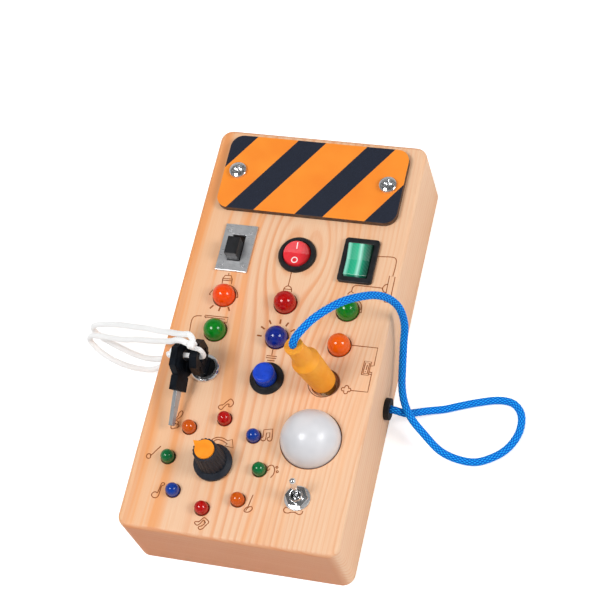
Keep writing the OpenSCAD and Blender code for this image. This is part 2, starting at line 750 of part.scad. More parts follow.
// Cord from under the knot, down beside the key in the lock, through both heads to a stopper knot
module lanyard_bight() {
    h = (loop_top - loop_low) / 2 - loop_r;
    color("white") at_key() translate([loop_side - loop_r, 0, (loop_top + loop_low) / 2])
        rotate([90, 0, 0]) union() {
            translate([loop_r, -h - eps, 0]) rotate([-90, 0, 0]) cylinder(d = loop_d, h = 2 * (h + eps));
            translate([-1.6, h + loop_r, 0]) rotate([0, 90, 0]) cylinder(d = loop_d, h = 1.6 + eps);
            translate([loop_r - loop_side - stop_x, -h - loop_r, 0]) {
                rotate([0, 90, 0]) cylinder(d = loop_d, h = loop_side + stop_x - loop_r + eps);
                sphere(d = stop_d);
            }
            for (s = [-1, 1]) translate([0, s * h, 0]) rotate([0, 0, s < 0 ? -90 : 0])
                rotate_extrude(angle = 90) translate([loop_r, 0]) circle(d = loop_d);
        }
}

module lanyard_knot() {
    color("white") translate([col[0], lock_y, knot_z]) sphere(d = knot_d);
}

// A strand ends on the knot, at an angle counted from +X
module strand(route, side, knot_angle) {
    from = [-case_w / 2 - flange_t, left_grommet_y + side * strand_gap, grommet_z];
    out = [cos(knot_angle), sin(knot_angle), 0];
    to = [col[0], lock_y, knot_z] + (knot_d / 2 + 0.02) * out;
    tube(concat([from], route, [to]), lanyard_d / 2, 8, [-1, 0, 0], -out);
}

module lanyard_strand_a() { color("white") strand(strand_a, 1, 85); }
module lanyard_strand_b() { color("white") strand(strand_b, -1, 167); }

module lanyard_tails() {
    color("white") {
        for (s = [-1, 1])
            translate([-case_w / 2 - flange_t, left_grommet_y + s * strand_gap, grommet_z])
                rotate([0, 90, 0]) cylinder(d = lanyard_d, h = wall_t + flange_t + 6);
        translate([-case_w / 2 + wall_t + inner_flange_t + 4, left_grommet_y, grommet_z]) sphere(d = 8);
    }
}

// ---- push button ----

module push_barrel() {
    color([0.12, 0.12, 0.12]) translate([col[1], push_y, case_h]) difference() {
        union() {
            cylinder(d = push_bezel_d, h = 0.8);
            translate([0, 0, 0.8 - eps]) cylinder(d1 = push_bezel_d, d2 = push_bore_d + 1.4,
                h = push_bezel_h - 0.8);
            translate([0, 0, -push_depth]) cylinder(d = push_d, h = push_depth + eps);
        }
        translate([0, 0, -push_floor]) cylinder(d = push_bore_d, h = push_floor + 10);
        translate([0, 0, -push_depth + 1]) cylinder(d = 4.6, h = push_depth);
    }
}

module push_nut() {
    color("silver") translate([col[1], push_y, under - push_nut_t])
        hex_nut(push_d + nut_over, push_d + 0.1, push_nut_t - 0.05);
}

module push_cap() {
    r = push_cap_d / 2;
    e = 1.2;
    color("royalblue") translate([col[1], push_y, case_h]) union() {
        translate([0, 0, -1.5]) rotate_extrude() difference() {
            union() {
                square([r, push_cap_h + 1.5 - e]);
                square([r - e, push_cap_h + 1.5]);
                translate([r - e, push_cap_h + 1.5 - e]) circle(e);
            }
            translate([-10, -5]) square([10, 40]);
        }
        translate([0, 0, -push_stem]) cylinder(d = 4.4, h = push_stem - 0.4);
    }
}

module push_spring() {
    color("silver") translate([col[1], push_y, case_h - push_floor + 0.05])
        ring(8.2, 5.6, push_floor - 1.6);
}

// ---- knob ----

module pot_body() {
    color("darkolivegreen") translate([knob_x, knob_y, 0]) difference() {
        union() {
            translate([0, 0, under - pot_h]) cylinder(d = pot_d, h = pot_h - 0.05);
            translate([0, 0, under - 1]) cylinder(d = pot_thread_d, h = top_t + 1 + pot_neck_h);
        }
        translate([0, 0, under - pot_h + 2]) cylinder(d = shaft_d + 2 * run, h = 60);
    }
}

module pot_nut() {
    color("silver") translate([knob_x, knob_y, case_h + 0.02])
        hex_nut(pot_thread_d + nut_over, pot_thread_d + 0.1, pot_nut_t);
}

module pot_shaft() {
    color("silver") translate([knob_x, knob_y, under - pot_h + 2.1])
        cylinder(d = shaft_d, h = knob_shaft_h());
}

function knob_shaft_h() = case_h + knob_lift + knob_h - 4 - (under - pot_h + 2.1);

module knob_grip() {
    flutes = 20;
    top_d = grip_d - 2.2;
    body_h = knob_h - 1.2;
    lean = atan((grip_d - top_d) / 2 / (body_h - 2.8));
    color([0.12, 0.12, 0.12]) translate([knob_x, knob_y, case_h + knob_lift]) difference() {
        union() {
            cylinder(d = skirt_d, h = 1.2);
            translate([0, 0, 1.2 - eps]) cylinder(d1 = skirt_d, d2 = grip_d + 0.6, h = 1.6);
            cylinder(d = grip_d, h = 2.8);
            translate([0, 0, 2.8 - eps]) cylinder(d1 = grip_d, d2 = top_d, h = body_h - 2.8);
        }
        translate([0, 0, -1]) cylinder(d = 12, h = 2.9);
        translate([0, 0, -1]) cylinder(d = shaft_d + 0.1, h = body_h - 1);
        for (i = [0:flutes - 1]) rotate([0, 0, i * 360 / flutes])
            translate([grip_d / 2 + 0.35, 0, 3.2]) rotate([0, -lean, 0])
                cylinder(d = 1.4, h = knob_h + 5, $fn = 16);
    }
}

module knob_pointer() {
    disc_d = 8.6;
    reach = 6.6;
    color("orange") translate([knob_x, knob_y, case_h + knob_lift + knob_h - 1.2])
        rotate([0, 0, pointer_angle]) linear_extrude(1.2) union() {
            circle(d = disc_d);
            polygon([[0, disc_d / 2], [reach, 0], [0, -disc_d / 2]]);
        }
}

// ---- toggle switch ----

module toggle_case() {
    color("firebrick") translate([toggle_x, toggle_y, under - 10]) difference() {
        centre_box(8, 13, 9.9);
        translate([0, 0, 4]) centre_box(3.4, 7, 20);
    }
}

module toggle_bushing() {
    color("silver") translate([toggle_x, toggle_y, under]) difference() {
        cylinder(d = toggle_d, h = top_t + toggle_neck_h);
        translate([0, 0, -1]) cylinder(d = toggle_bore_d, h = 40);
    }
}

module toggle_washer() {
    color("silver") translate([toggle_x, toggle_y, case_h]) ring(11.4, toggle_d + 0.1, washer_t);
}

module toggle_nut() {
    color("silver") translate([toggle_x, toggle_y, case_h + washer_t + 0.02])
        hex_nut(toggle_d + nut_over, toggle_d + 0.1, toggle_nut_t);
}

module toggle_bat() {
    color("silver") translate([toggle_x, toggle_y, case_h + bat_pivot])
        rotate([-bat_swing / 2, 0, 0]) union() {
            sphere(d = bat_ball_d);
            cylinder(d1 = 1.9, d2 = 2.9, h = bat_len - 1.45);
            translate([0, 0, bat_len - 1.45]) sphere(d = 2.9);
            translate([0, 0, -4.6]) cylinder(d = 1.4, h = 4.6);
        }
}

// ---- lamps ----

function lamp_row_y(k) = lock_y + lamp_rows[k] * (switch_y - lock_y);
function big_lamp_points() = [for (x = col, k = [0, 1]) [x, lamp_row_y(k), 0]];
function ring_point(i) = [knob_x + ring_r * cos(90 + 45 * i), knob_y + ring_r * sin(90 + 45 * i), 0];

module lamp(d) {
    translate([0, 0, case_h + led_lift]) union() {
        difference() {
            sphere(d = d);
            translate([0, 0, -d]) centre_box(2 * d, 2 * d, d);
        }
        translate([0, 0, -led_lift - top_t - led_flange_t - led_tail])
            cylinder(d = d, h = led_lift + top_t + led_flange_t + led_tail + eps);
        translate([0, 0, -led_lift - top_t - led_flange_t - 0.02])
            cylinder(d = d + 2 * led_flange, h = led_flange_t);
    }
}

module big_lamps(places, shade) {
    color(shade) for (i = places) translate(big_lamp_points()[i]) lamp(big_led_d);
}
module ring_lamps(first, shade) {
    color(shade) for (i = [first, first + 4]) translate(ring_point(i)) lamp(small_led_d);
}

module lamp_legs() {
    top = under - led_flange_t - led_tail;
    color("silver") {
        for (p = big_lamp_points(), s = [-1, 1])
            translate([p[0] + s * leg_gap / 2, p[1], top - leg_len]) cylinder(d = 0.6, h = leg_len);
        for (i = [0:7], s = [-1, 1]) translate(ring_point(i) + [s * leg_gap / 2, 0, top - leg_len])
            cylinder(d = 0.6, h = leg_len);
    }
}

module dome_cap() {
    r = dome_d / 2;
    color("white") translate([dome_x, dome_y, dome_z]) rotate_extrude() difference() {
        union() {
            circle(r);
            translate([0, -top_t]) square([r, top_t]);
            translate([0, -top_t - dome_flange_t]) square([r + dome_flange, dome_flange_t - 0.02]);
        }
        circle(r - dome_wall);
        translate([0, -top_t - 5]) square([r - dome_wall, top_t + 5]);
        translate([-2 * r, -2 * r]) square([2 * r, 4 * r]);
        translate([0, -2 * r - top_t - dome_flange_t]) square([2 * r, 2 * r]);
    }
}

module dome_board() {
    color("whitesmoke") translate([dome_x, dome_y, under - dome_flange_t - dome_board_t - 0.05]) {
        cylinder(d = dome_d + dome_flange, h = dome_board_t);
        for (a = [0:90:270]) rotate([0, 0, a]) translate([5, 0, dome_board_t - eps])
            centre_box(3, 3, 0.8);
    }
}

// ---- plug, socket and cord ----

module jack_frame() {
    translate([jack_x, jack_y, case_h - 2]) rotate([0, -plug_lean, 0]) children();
}

module jack_socket() {
    color("dimgray") jack_frame() difference() {
        union() {
            translate([0, 0, jack_box_top - 1]) cylinder(d = jack_bush_d, h = jack_seat - jack_box_top + 1);
            translate([0, 0, jack_box_top - jack_box]) centre_box(jack_box, jack_box, jack_box);
        }
        translate([0, 0, jack_box_top - jack_box + 1]) cylinder(d = pin_d + 2 * run, h = 40);
    }
}

module plug_body() {
    r = plug_d / 2;
    color("orange") jack_frame() translate([0, 0, plug_foot_at]) rotate_extrude() polygon([
        [0, 0], [r - 0.8, 0], [r, 0.8], [r + plug_flare, plug_body_len],
        [plug_neck_d / 2 + 0.8, plug_body_len + plug_cone_len], [plug_neck_d / 2, plug_len - 1.6],
        [plug_neck_d / 2 + 0.4, plug_len - 1.2], [plug_neck_d / 2 + 0.4, plug_len], [0, plug_len]]);
}

module plug_pin() {
    tip = 1.5;
    color("gold") jack_frame() translate([0, 0, plug_foot_at - pin_len]) union() {
        translate([0, 0, tip]) cylinder(d = pin_d, h = pin_len - tip);
        cylinder(d1 = pin_d * 0.5, d2 = pin_d, h = tip + eps);
    }
}

module cord_grommets() {
    color([0.1, 0.1, 0.1]) {
        translate([case_w / 2 - wall_t, right_grommet_y, grommet_z])
            rotate([0, 90, 0]) grommet_ring([0], cord_d + 0.1);
        translate([-case_w / 2 + wall_t, left_grommet_y, grommet_z])
            rotate([0, -90, 0]) grommet_ring([-1, 1], lanyard_d + 0.1);
    }
}

// Grommet along +Z from the inside of the wall, with one round way for each strand
module grommet_ring(ways, way_d) {
    difference() {
        union() {
            translate([0, 0, wall_t]) cylinder(d = grommet_d, h = flange_t);
            cylinder(d = grommet_neck_d, h = wall_t + eps);
            translate([0, 0, -inner_flange_t]) cylinder(d = grommet_d, h = inner_flange_t);
        }
        for (p = ways) translate([0, p * strand_gap, -5])
            cylinder(d = way_d, h = wall_t + 20);
    }
}

module patch_cord() {
    lean = [-sin(plug_lean), 0, cos(plug_lean)];
    from = [case_w / 2 + flange_t, right_grommet_y, grommet_z];
    to = [jack_x, jack_y, case_h - 2] + (plug_foot_at + plug_len) * lean;
    color("dodgerblue") tube(concat([from], cord_route, [to]), cord_d / 2, 8, [1, 0, 0], -lean);
}

module patch_cord_tail() {
    color("dodgerblue") translate([case_w / 2 + flange_t, right_grommet_y, grommet_z])
        rotate([0, -90, 0]) {
            cylinder(d = cord_d, h = wall_t + flange_t + inner_flange_t + 1);
            translate([0, 0, wall_t + flange_t + inner_flange_t]) cylinder(d = grommet_d * 0.7, h = 2);
        }
}

// ---- control board and wiring ----

module control_board() {
    color("green") translate([board_x, board_y, board_z]) union() {
        centre_box(board_w, board_l, board_t);
        for (x = [-1, 1], y = [-1, 1])
            translate([x * (board_w / 2 - post_in), y * (board_l / 2 - post_in), -board_rise - 0.1])
                cylinder(d = post_d, h = board_rise + 0.2);
        translate([-3, 4, board_t - eps]) centre_box(9, 16, 2.4);
        translate([-16, 8, board_t - eps]) cylinder(d = 6, h = 4);
        for (i = [0:7]) translate([-21 + i * 6, -16, board_t - eps]) centre_box(1.6, 5, 1.4);
    }
}

// Wires run in one loom under the upper rows; the lamps over the board drop straight onto it
module wiring() {
    legs_end = under - led_flange_t - led_tail - leg_len;
    board_top = board_z + board_t;
    color("orangered") union() {
        translate([loom_x, loom_from_y, loom_z]) rotate([-90, 0, 0])
            cylinder(d = loom_d, h = hollow_top_y - way_in + 2 - loom_from_y);
        translate([loom_x, loom_from_y + 2, board_top]) cylinder(d = loom_d * 0.8, h = loom_z - board_top);
        translate([loom_x, hollow_top_y - way_in, loom_z])
            cylinder(d = wire_d * 2, h = bay_floor + way_up - loom_z);
        translate([loom_x, hollow_top_y - way_in, bay_floor + way_up]) rotate([0, 90, 0])
            cylinder(d = wire_d * 2, h = -loom_x);
        translate([0, hollow_top_y - way_in, bay_floor + way_up]) sphere(d = wire_d * 2);
        translate([0, hollow_top_y - way_in, bay_floor + way_up]) rotate([-90, 0, 0])
            cylinder(d = wire_d * 2, h = cover_y - tray_l / 2 - fit - hollow_top_y + way_in - 0.1);
        row(switch_y, col[0], col[2]);
        for (k = [0, 1])
            row(lamp_row_y(k), col[0] + leg_gap / 2, col[2] + leg_gap / 2);
        row(push_y, col[0], col[1]);
        drop(col[0], switch_y, case_h - slide_body_depth);
        drop(col[1], switch_y, case_h - round_depth);
        drop(col[2], switch_y, case_h - square_depth);
        drop(col[0], push_y, case_h - lock_depth);
        drop(col[1], push_y, case_h - push_depth);
        for (p = big_lamp_points()) drop(p[0] + leg_gap / 2, p[1], legs_end);
    }
    color("black") {
        for (i = [0:7], s = [-1, 1]) translate(ring_point(i) + [s * leg_gap / 2, 0, 0])
            if (i != 4) upright(board_top, legs_end);
    }
}

// Wire along X at the height of the loom
module row(y, x1, x2) {
    translate([x1, y, loom_z]) rotate([0, 90, 0]) cylinder(d = wire_d, h = x2 - x1);
}
module drop(x, y, top) {
    translate([x, y, loom_z]) sphere(d = wire_d);
    translate([x, y, loom_z]) cylinder(d = wire_d, h = top - loom_z);
}
module upright(low, high) { translate([0, 0, low]) cylinder(d = wire_d, h = high - low); }

case_body();
back_panel();
back_screws();
battery_cover();
cover_screws();
battery_tray();
battery_cells();
battery_contacts();
slide_frame();
slide_housing();
slide_lever();
round_rocker_housing();
round_rocker_button();
square_rocker_housing();
square_rocker_button();
lock_barrel();
lock_nut();
lock_core();
key_blade();
key_head();
spare_blade();
spare_head();
lanyard_bight();
lanyard_knot();
lanyard_strand_a();
lanyard_strand_b();
lanyard_tails();
push_barrel();
push_nut();
push_cap();
push_spring();
pot_body();
pot_nut();
pot_shaft();
knob_grip();
knob_pointer();
toggle_case();
toggle_bushing();
toggle_washer();
toggle_nut();
toggle_bat();
big_lamps([0, 5], "orangered");  // lamps_orange
big_lamps([1, 4], "green");  // lamps_green
big_lamps([2], "red");  // lamp_red
big_lamps([3], "blue");  // lamp_blue
ring_lamps(0, "red");  // ring_lamps_red
ring_lamps(1, "orangered");  // ring_lamps_orange
ring_lamps(2, "green");  // ring_lamps_green
ring_lamps(3, "blue");  // ring_lamps_blue
lamp_legs();
dome_cap();
dome_board();
jack_socket();
plug_body();
plug_pin();
cord_grommets();
patch_cord();
patch_cord_tail();
control_board();
wiring();
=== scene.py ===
"""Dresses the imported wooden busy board: camera, cords, engraving, finishes and studio light."""
import math

import bpy
import numpy as np
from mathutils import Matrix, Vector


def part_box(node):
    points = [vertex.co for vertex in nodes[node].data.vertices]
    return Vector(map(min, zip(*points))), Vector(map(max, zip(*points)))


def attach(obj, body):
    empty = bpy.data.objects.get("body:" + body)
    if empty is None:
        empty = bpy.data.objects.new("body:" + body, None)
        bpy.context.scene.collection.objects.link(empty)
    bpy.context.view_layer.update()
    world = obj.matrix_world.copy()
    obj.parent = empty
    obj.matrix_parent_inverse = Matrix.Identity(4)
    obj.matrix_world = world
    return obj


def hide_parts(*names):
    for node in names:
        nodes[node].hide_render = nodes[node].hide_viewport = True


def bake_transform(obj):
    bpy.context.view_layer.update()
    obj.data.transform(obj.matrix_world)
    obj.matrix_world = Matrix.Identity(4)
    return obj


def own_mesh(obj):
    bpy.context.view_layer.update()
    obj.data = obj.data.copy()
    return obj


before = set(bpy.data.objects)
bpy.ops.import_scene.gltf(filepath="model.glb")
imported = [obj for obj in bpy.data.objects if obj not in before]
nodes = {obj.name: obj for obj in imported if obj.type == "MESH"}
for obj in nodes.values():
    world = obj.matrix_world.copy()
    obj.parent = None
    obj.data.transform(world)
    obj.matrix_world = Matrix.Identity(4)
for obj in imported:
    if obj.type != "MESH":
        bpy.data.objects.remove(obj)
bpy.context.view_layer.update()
MM = 0.001
TURN = 2 * math.pi

# ---- camera: placed by the block's outline and the centres of its lamps ----

EYE = np.array([242.28, -326.13, 787.93]) * MM
AIM = np.array([1.24, 24.94, 19.0]) * MM
EYE_UP = np.array([-0.11143, 0.89035, 0.44143])
LENS, SENSOR = 114.75, 36                      # in millimetres


def make_camera():
    """The camera looks from EYE to AIM, with the board's far end leaning right."""
    ahead = (AIM - EYE) / np.linalg.norm(AIM - EYE)
    right = np.cross(ahead, EYE_UP)
    right /= np.linalg.norm(right)
    data = bpy.data.cameras.new("studio_camera")
    data.lens, data.sensor_width = LENS, SENSOR
    data.clip_start, data.clip_end = 0.05, 20
    camera = bpy.data.objects.new("studio_camera", data)
    camera.matrix_world = [[*right, 0], [*np.cross(right, ahead), 0], [*-ahead, 0], [*EYE, 1]]
    bpy.context.scene.collection.objects.link(camera)
    bpy.context.scene.camera = camera


# ---- surfaces worked out as whole arrays ----

def lay_mesh(name, points, faces, uv=None, smooth=True):
    """A mesh object from an array of points and a list of faces, with an optional UV pair for each face corner."""
    mesh = bpy.data.meshes.new(name)
    mesh.from_pydata(points, [], faces)
    if uv is not None:
        mesh.uv_layers.new(name="lie").data.foreach_set("uv", np.asarray(uv, np.float32).ravel())
    mesh.polygons.foreach_set("use_smooth", np.full(len(mesh.polygons), smooth))
    mesh.update()
    piece = bpy.data.objects.new(name, mesh)
    bpy.context.scene.collection.objects.link(piece)
    return piece


def skin(grid, uv=None):
    """Faces and corner UVs of a closed skin over a grid of rings: four-sided walls between neighbouring
    rings, and one flat cap on the first and the last ring."""
    rings, sides = grid.shape[:2]
    i, k = np.meshgrid(np.arange(rings - 1), np.arange(sides), indexing="ij")
    j = (k + 1) % sides
    walls = np.stack([i * sides + k, i * sides + j, (i + 1) * sides + j, (i + 1) * sides + k], -1).reshape(-1, 4)
    a, b, c = grid.reshape(-1, 3)[walls[:, 0]], grid.reshape(-1, 3)[walls[:, 1]], grid.reshape(-1, 3)[walls[:, 2]]
    inside_out = np.einsum("ij,ij->", np.cross(b - a, c - a), a - grid.reshape(-1, 3).mean(0)) < 0
    caps = [np.arange(sides)[::-1], (rings - 1) * sides + np.arange(sides)]
    if inside_out:
        walls, caps = walls[:, ::-1], [cap[::-1] for cap in caps]
    faces = walls.tolist() + [cap.tolist() for cap in caps]
    if uv is None:
        return faces, None
    along = np.stack([i, i, i + 1, i + 1], -1).reshape(-1, 4)
    around = np.stack([k, k + 1, k + 1, k], -1).reshape(-1, 4)
    if inside_out:
        along, around = along[:, ::-1], around[:, ::-1]
    corners = np.stack([uv[along], around / sides], -1).reshape(-1, 2)
    return faces, np.concatenate([corners, np.full((2 * sides, 2), (uv[0], 0.0))])


def smooth_line(points, first, last, spacing):
    """A curve through the points, each stretch a cubic whose end slopes are the chord between its
    neighbours, then walked at equal steps. first and last are the directions at its ends."""
    stretch_steps = 24
    p = np.asarray(points, float)
    gaps = np.linalg.norm(np.diff(p, axis=0), axis=1)
    when = np.concatenate([[0], np.cumsum(gaps)])
    slope = np.empty_like(p)
    slope[1:-1] = (p[2:] - p[:-2]) / (when[2:] - when[:-2])[:, None]
    slope[0], slope[-1] = np.asarray(first) / np.linalg.norm(first), np.asarray(last) / np.linalg.norm(last)
    t = np.linspace(0, 1, stretch_steps, endpoint=False)[None, :, None]
    h = gaps[:, None, None]
    a, b, sa, sb = p[:-1, None], p[1:, None], slope[:-1, None] * h, slope[1:, None] * h
    fine = ((2 * t**3 - 3 * t**2 + 1) * a + (t**3 - 2 * t**2 + t) * sa
            + (3 * t**2 - 2 * t**3) * b + (t**3 - t**2) * sb).reshape(-1, 3)
    fine = np.concatenate([fine, p[-1:]])
    run = np.concatenate([[0], np.cumsum(np.linalg.norm(np.diff(fine, axis=0), axis=1))])
    steps = np.linspace(0, run[-1], max(8, int(run[-1] / spacing)))
    return np.stack([np.interp(steps, run, fine[:, k]) for k in range(3)], -1), steps


def side_frames(line):
    """Two directions square to the line at each of its points, carried along it without twist."""
    along = np.gradient(line, axis=0)
    along /= np.linalg.norm(along, axis=1)[:, None]
    side = np.empty_like(along)
    start = np.array([0.0, 0.0, 1.0]) if abs(along[0, 2]) < 0.9 else np.array([0.0, 1.0, 0.0])
    for n, t in enumerate(along):
        start = start - (start @ t) * t
        start /= np.linalg.norm(start)
        side[n] = start
    return side, np.cross(along, side)


def braided_tube(name, points, first, last, braid):
    """A braided cord: a circle carried along the line, its radius dropping between two sets of strands
    that wind round it both ways, each strand crowned and dipping where it passes under the other set."""
    carriers, *sizes = braid
    radius, pitch, relief = (size * MM for size in sizes)
    strand_steps = 5
    line, steps = smooth_line(points, first, last, pitch / strand_steps)
    sides = carriers * strand_steps
    angle = np.arange(sides) / sides
    one = carriers * angle[None, :] + steps[:, None] / pitch
    two = carriers * angle[None, :] - steps[:, None] / pitch
    on_top = (np.floor(one) + np.floor(two)) % 2 == 0
    across, under = np.where(on_top, one, two) % 1, np.where(on_top, two, one) % 1
    crown = np.sin(math.pi * across) ** 0.8 * (0.5 + 0.5 * np.sin(math.pi * under))
    reach = radius - relief * (1 - crown)
    side, other = side_frames(line)
    turn = TURN * angle[None, :, None]
    grid = line[:, None] + reach[..., None] * (np.cos(turn) * side[:, None] + np.sin(turn) * other[:, None])
    faces, uv = skin(grid, steps / pitch)
    return lay_mesh(name, grid.reshape(-1, 3), faces, uv), line, steps[-1]


# ---- cords: the same points as the solids, in millimetres ----

PATCH_D, LANYARD_D = 3.6, 2.8
BLUE_BRAID, WHITE_BRAID = 8, 10                # strands of each braid that wind one way round
# the braids: strands one way round, then radius, pitch of the winding and depth of the gaps
PATCH_CORD = (BLUE_BRAID, PATCH_D / 2, 2.2, 0.3)
LANYARD = (WHITE_BRAID, LANYARD_D / 2, 1.9, 0.2)
LANYARD_KNOT = (WHITE_BRAID, 1.05, 1.8, 0.18)
LANYARD_BIGHT = (WHITE_BRAID, 1.12, 1.8, 0.18)
PATCH_FROM = (52.5, -20, 12)
PATCH_TO = (20.72, -22, 75.0)
PATCH_LEAN = (math.sin(math.radians(10)), 0, -math.cos(math.radians(10)))
PATCH_ROUTE = [
    (59, -20, 9.5), (62, -18, 6.5), (67, -15, 3.2), (74.5, -12.5, 1.9), (81, -10, 1.9), (88, -7.5, 1.9),
    (97.5, -5, 1.9), (104, -5.5, 1.9), (108, -9, 1.9), (109.5, -14, 1.9), (109, -20, 1.9), (106, -26.5, 1.9),
    (101, -31.5, 1.9), (93, -35.5, 1.9), (84.5, -35.5, 2.2), (76.5, -33.5, 4.5), (69, -28.5, 9),
    (62.5, -23, 12.2), (58.5, -17, 13.5), (56, -10, 14.5), (55, -2, 17.5), (55, 6.5, 25), (56, 11.5, 35),
    (55, 14, 46), (52, 13.5, 56), (48, 10.5, 64.5), (43.5, 5.5, 72), (38.5, -0.5, 78.5), (33, -7.5, 82.5),
    (28.5, -13, 83.5), (25, -17.5, 82.5), (22, -20.5, 79.5)]
KNOT = (-28, -22.5, 63.5)
STRAND_A = [
    (-57, -7, 10), (-62, -7, 5.5), (-67, -6.5, 2.5), (-73, -6, 1.6), (-81.5, -4, 1.6), (-90, -1, 1.6),
    (-95, 1, 2.2), (-98.5, 2.5, 5), (-98.5, 3, 9), (-95, 3, 12.5), (-89.5, 2.5, 15.5), (-79, -0.5, 24),
    (-68, -4, 32), (-59, -7, 39), (-51.5, -9.5, 43.5), (-44.5, -12, 49.5), (-40, -14.5, 55),
    (-36, -16.5, 59.5), (-33, -17.5, 62), (-30, -18, 63.5)]
STRAND_B = [
    (-57, -11, 10), (-62, -11.5, 5.5), (-67, -12, 2.5), (-71.5, -12, 1.6), (-78.5, -11.5, 1.6),
    (-86.5, -9.5, 1.6), (-92.5, -7, 1.6), (-97, -4.5, 2.6), (-99.5, -2.5, 5.6), (-98, -2, 9.5),
    (-94, -2.5, 12), (-86, -4, 15.5), (-76, -7, 22.5), (-66.5, -9.5, 30.5), (-58, -12, 37),
    (-50, -14, 43), (-44.5, -16, 48.5), (-40.5, -18, 54), (-36.5, -20, 60.5), (-33, -21, 63)]


def in_metres(*groups):
    """The groups of points joined in one list, in metres."""
    return np.concatenate([np.atleast_2d(np.asarray(g, float)) for g in groups]) * MM


def coil_points(centre, turns, coil, span):
    """Points round an X axis through the centre: a helix whose reach swells from nothing to coil and back."""
    t = np.linspace(0.02, 0.98, int(12 * turns))[:, None]
    reach = coil * np.sin(math.pi * t) ** 0.4
    around = TURN * turns * t
    return np.array(centre) + np.hstack([(t - 0.5) * span, reach * np.sin(around), reach * np.cos(around)])


def make_patch_cord():
    """The blue cord: out of the right wall, one flat loop on the table, then up and over to the plug. Its
    hidden end runs in through the wall to a knot."""
    path = in_metres(PATCH_FROM, PATCH_ROUTE, PATCH_TO)
    piece, line, length = braided_tube("patch_cord_braid", path, (1, 0, 0), PATCH_LEAN, PATCH_CORD)
    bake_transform(piece)
    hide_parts("patch_cord")
    inner = in_metres(PATCH_FROM, (45, -20, 12), coil_points((40.6, -20, 12), 2, 1.6, -2.6))
    tail = braided_tube("patch_cord_tail_braid", inner, (-1, 0, 0), (-1, 0, 0), PATCH_CORD)[0]
    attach(tail, "root")
    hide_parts("patch_cord_tail")
    return piece, tail


def make_knot():
    """The knot that gathers the lanyard over the keys: two and a half turns of the same cord."""
    path = in_metres(coil_points(KNOT, 2.5, 1.15, 3.4))
    piece = braided_tube("lanyard_knot_turns", path, (1, 0, 0), (1, 0, 0), LANYARD_KNOT)[0]
    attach(piece, "key_lift")
    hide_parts("lanyard_knot")
    return piece


def make_strand(name, node, side, route, knot_angle):
    """One white strand of the key lanyard: out of the left wall, a flat loop, then up to the knot. Its
    hidden end runs in through the wall to a stopper knot."""
    out = np.array([math.cos(math.radians(knot_angle)), math.sin(math.radians(knot_angle)), 0])
    start = np.array([-52.5, -9 + side * 1.7, 12])
    path = in_metres(start, route, np.array(KNOT) + 1.6 * out)
    piece, line, length = braided_tube(name, path, (-1, 0, 0), -out, LANYARD)
    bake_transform(piece)
    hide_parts(node)
    end = coil_points((-38, -9, 12), 2, 2.4, 3.4) if side > 0 else [(-41.5, -10.3, 12), (-39.4, -10, 12)]
    inner = in_metres(start, start + (8, 0, 0), end)
    tail = braided_tube(name + "_tail", inner, (1, 0, 0), (1, 0, 0), LANYARD)[0]
    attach(tail, "root")
    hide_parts("lanyard_tails")
    return piece, tail


def make_bight():
    """The cord that holds both keys: from under the knot down beside the key in the lock, through the
    holes of both heads, to a stopper knot wound in its own end."""
    x, y = KNOT[:2]
    path = in_metres((x - 1.1, y, 60.6), (x + 0.75, y, 60.05), (x + 2.5, y, 59.3), (x + 3.15, y, 57.4),
                     (x + 3.15, y, 53.6), (x + 2.4, y, 51.7), (x + 0.6, y, 50.9), (x - 4, y, 50.9),
                     (x - 8.5, y, 50.9), coil_points((x - 12.1, y, 50.9), 2, 1.5, -3.6))
    piece = braided_tube("lanyard_bight_braid", path, (1, 0, 0), (-1, 0, 0), LANYARD_BIGHT)[0]
    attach(piece, "keys")
    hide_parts("lanyard_bight")
    return piece


def make_spring():
    """The return spring under the push cap: one wire wound as a helix, its end turns closed and level."""
    low, high = np.array(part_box("push_spring")) / MM
    wire, turns, turn_steps, wire_sides = 0.32, 7, 60, 10
    t = np.linspace(0, 1, turn_steps * turns)
    around, reach = TURN * turns * t, (high[0] - low[0]) / 2 - wire
    rise = wire + (high[2] - low[2] - 2 * wire) * np.clip((t - 1 / turns) / (1 - 2 / turns), 0, 1)
    line = np.column_stack([reach * np.cos(around), reach * np.sin(around), rise]) + [*middle("push_spring"), low[2]]
    side, other = side_frames(line)
    turn = (TURN * np.arange(wire_sides) / wire_sides)[None, :, None]
    grid = MM * (line[:, None] + wire * (np.cos(turn) * side[:, None] + np.sin(turn) * other[:, None]))
    piece = lay_mesh("push_spring_wire", grid.reshape(-1, 3), skin(grid)[0])
    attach(piece, "root")
    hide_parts("push_spring")
    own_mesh(piece)
    return piece


# ---- engraving and print ----

def ribbons(name, strokes, width, low, top):
    """Flat closed strips along lists of points in millimetres, all in one piece. A stroke marked 1 is
    smoothed; its strip is a four-cornered ring carried along it, width across and from low to top."""
    grids, faces, first = [], [], 0
    for bent, points in strokes:
        p = np.array(points, float)
        if bent:
            flat = np.column_stack([p, np.zeros(len(p))])
            p = smooth_line(flat, flat[1] - flat[0], flat[-1] - flat[-2], 0.3)[0][:, :2]
        along = np.gradient(p, axis=0)
        side = np.column_stack([-along[:, 1], along[:, 0]]) / np.linalg.norm(along, axis=1)[:, None] * width / 2
        a, b = p - side, p + side
        ring = ((a, low), (b, low), (b, top), (a, top))
        grid = np.stack([np.column_stack([edge, np.full(len(p), z)]) for edge, z in ring], 1)
        faces += [[first + corner for corner in face] for face in skin(grid)[0]]
        grids.append(grid.reshape(-1, 3))
        first += len(grid) * len(ring)
    return lay_mesh(name, np.concatenate(grids) * MM, faces, smooth=False)


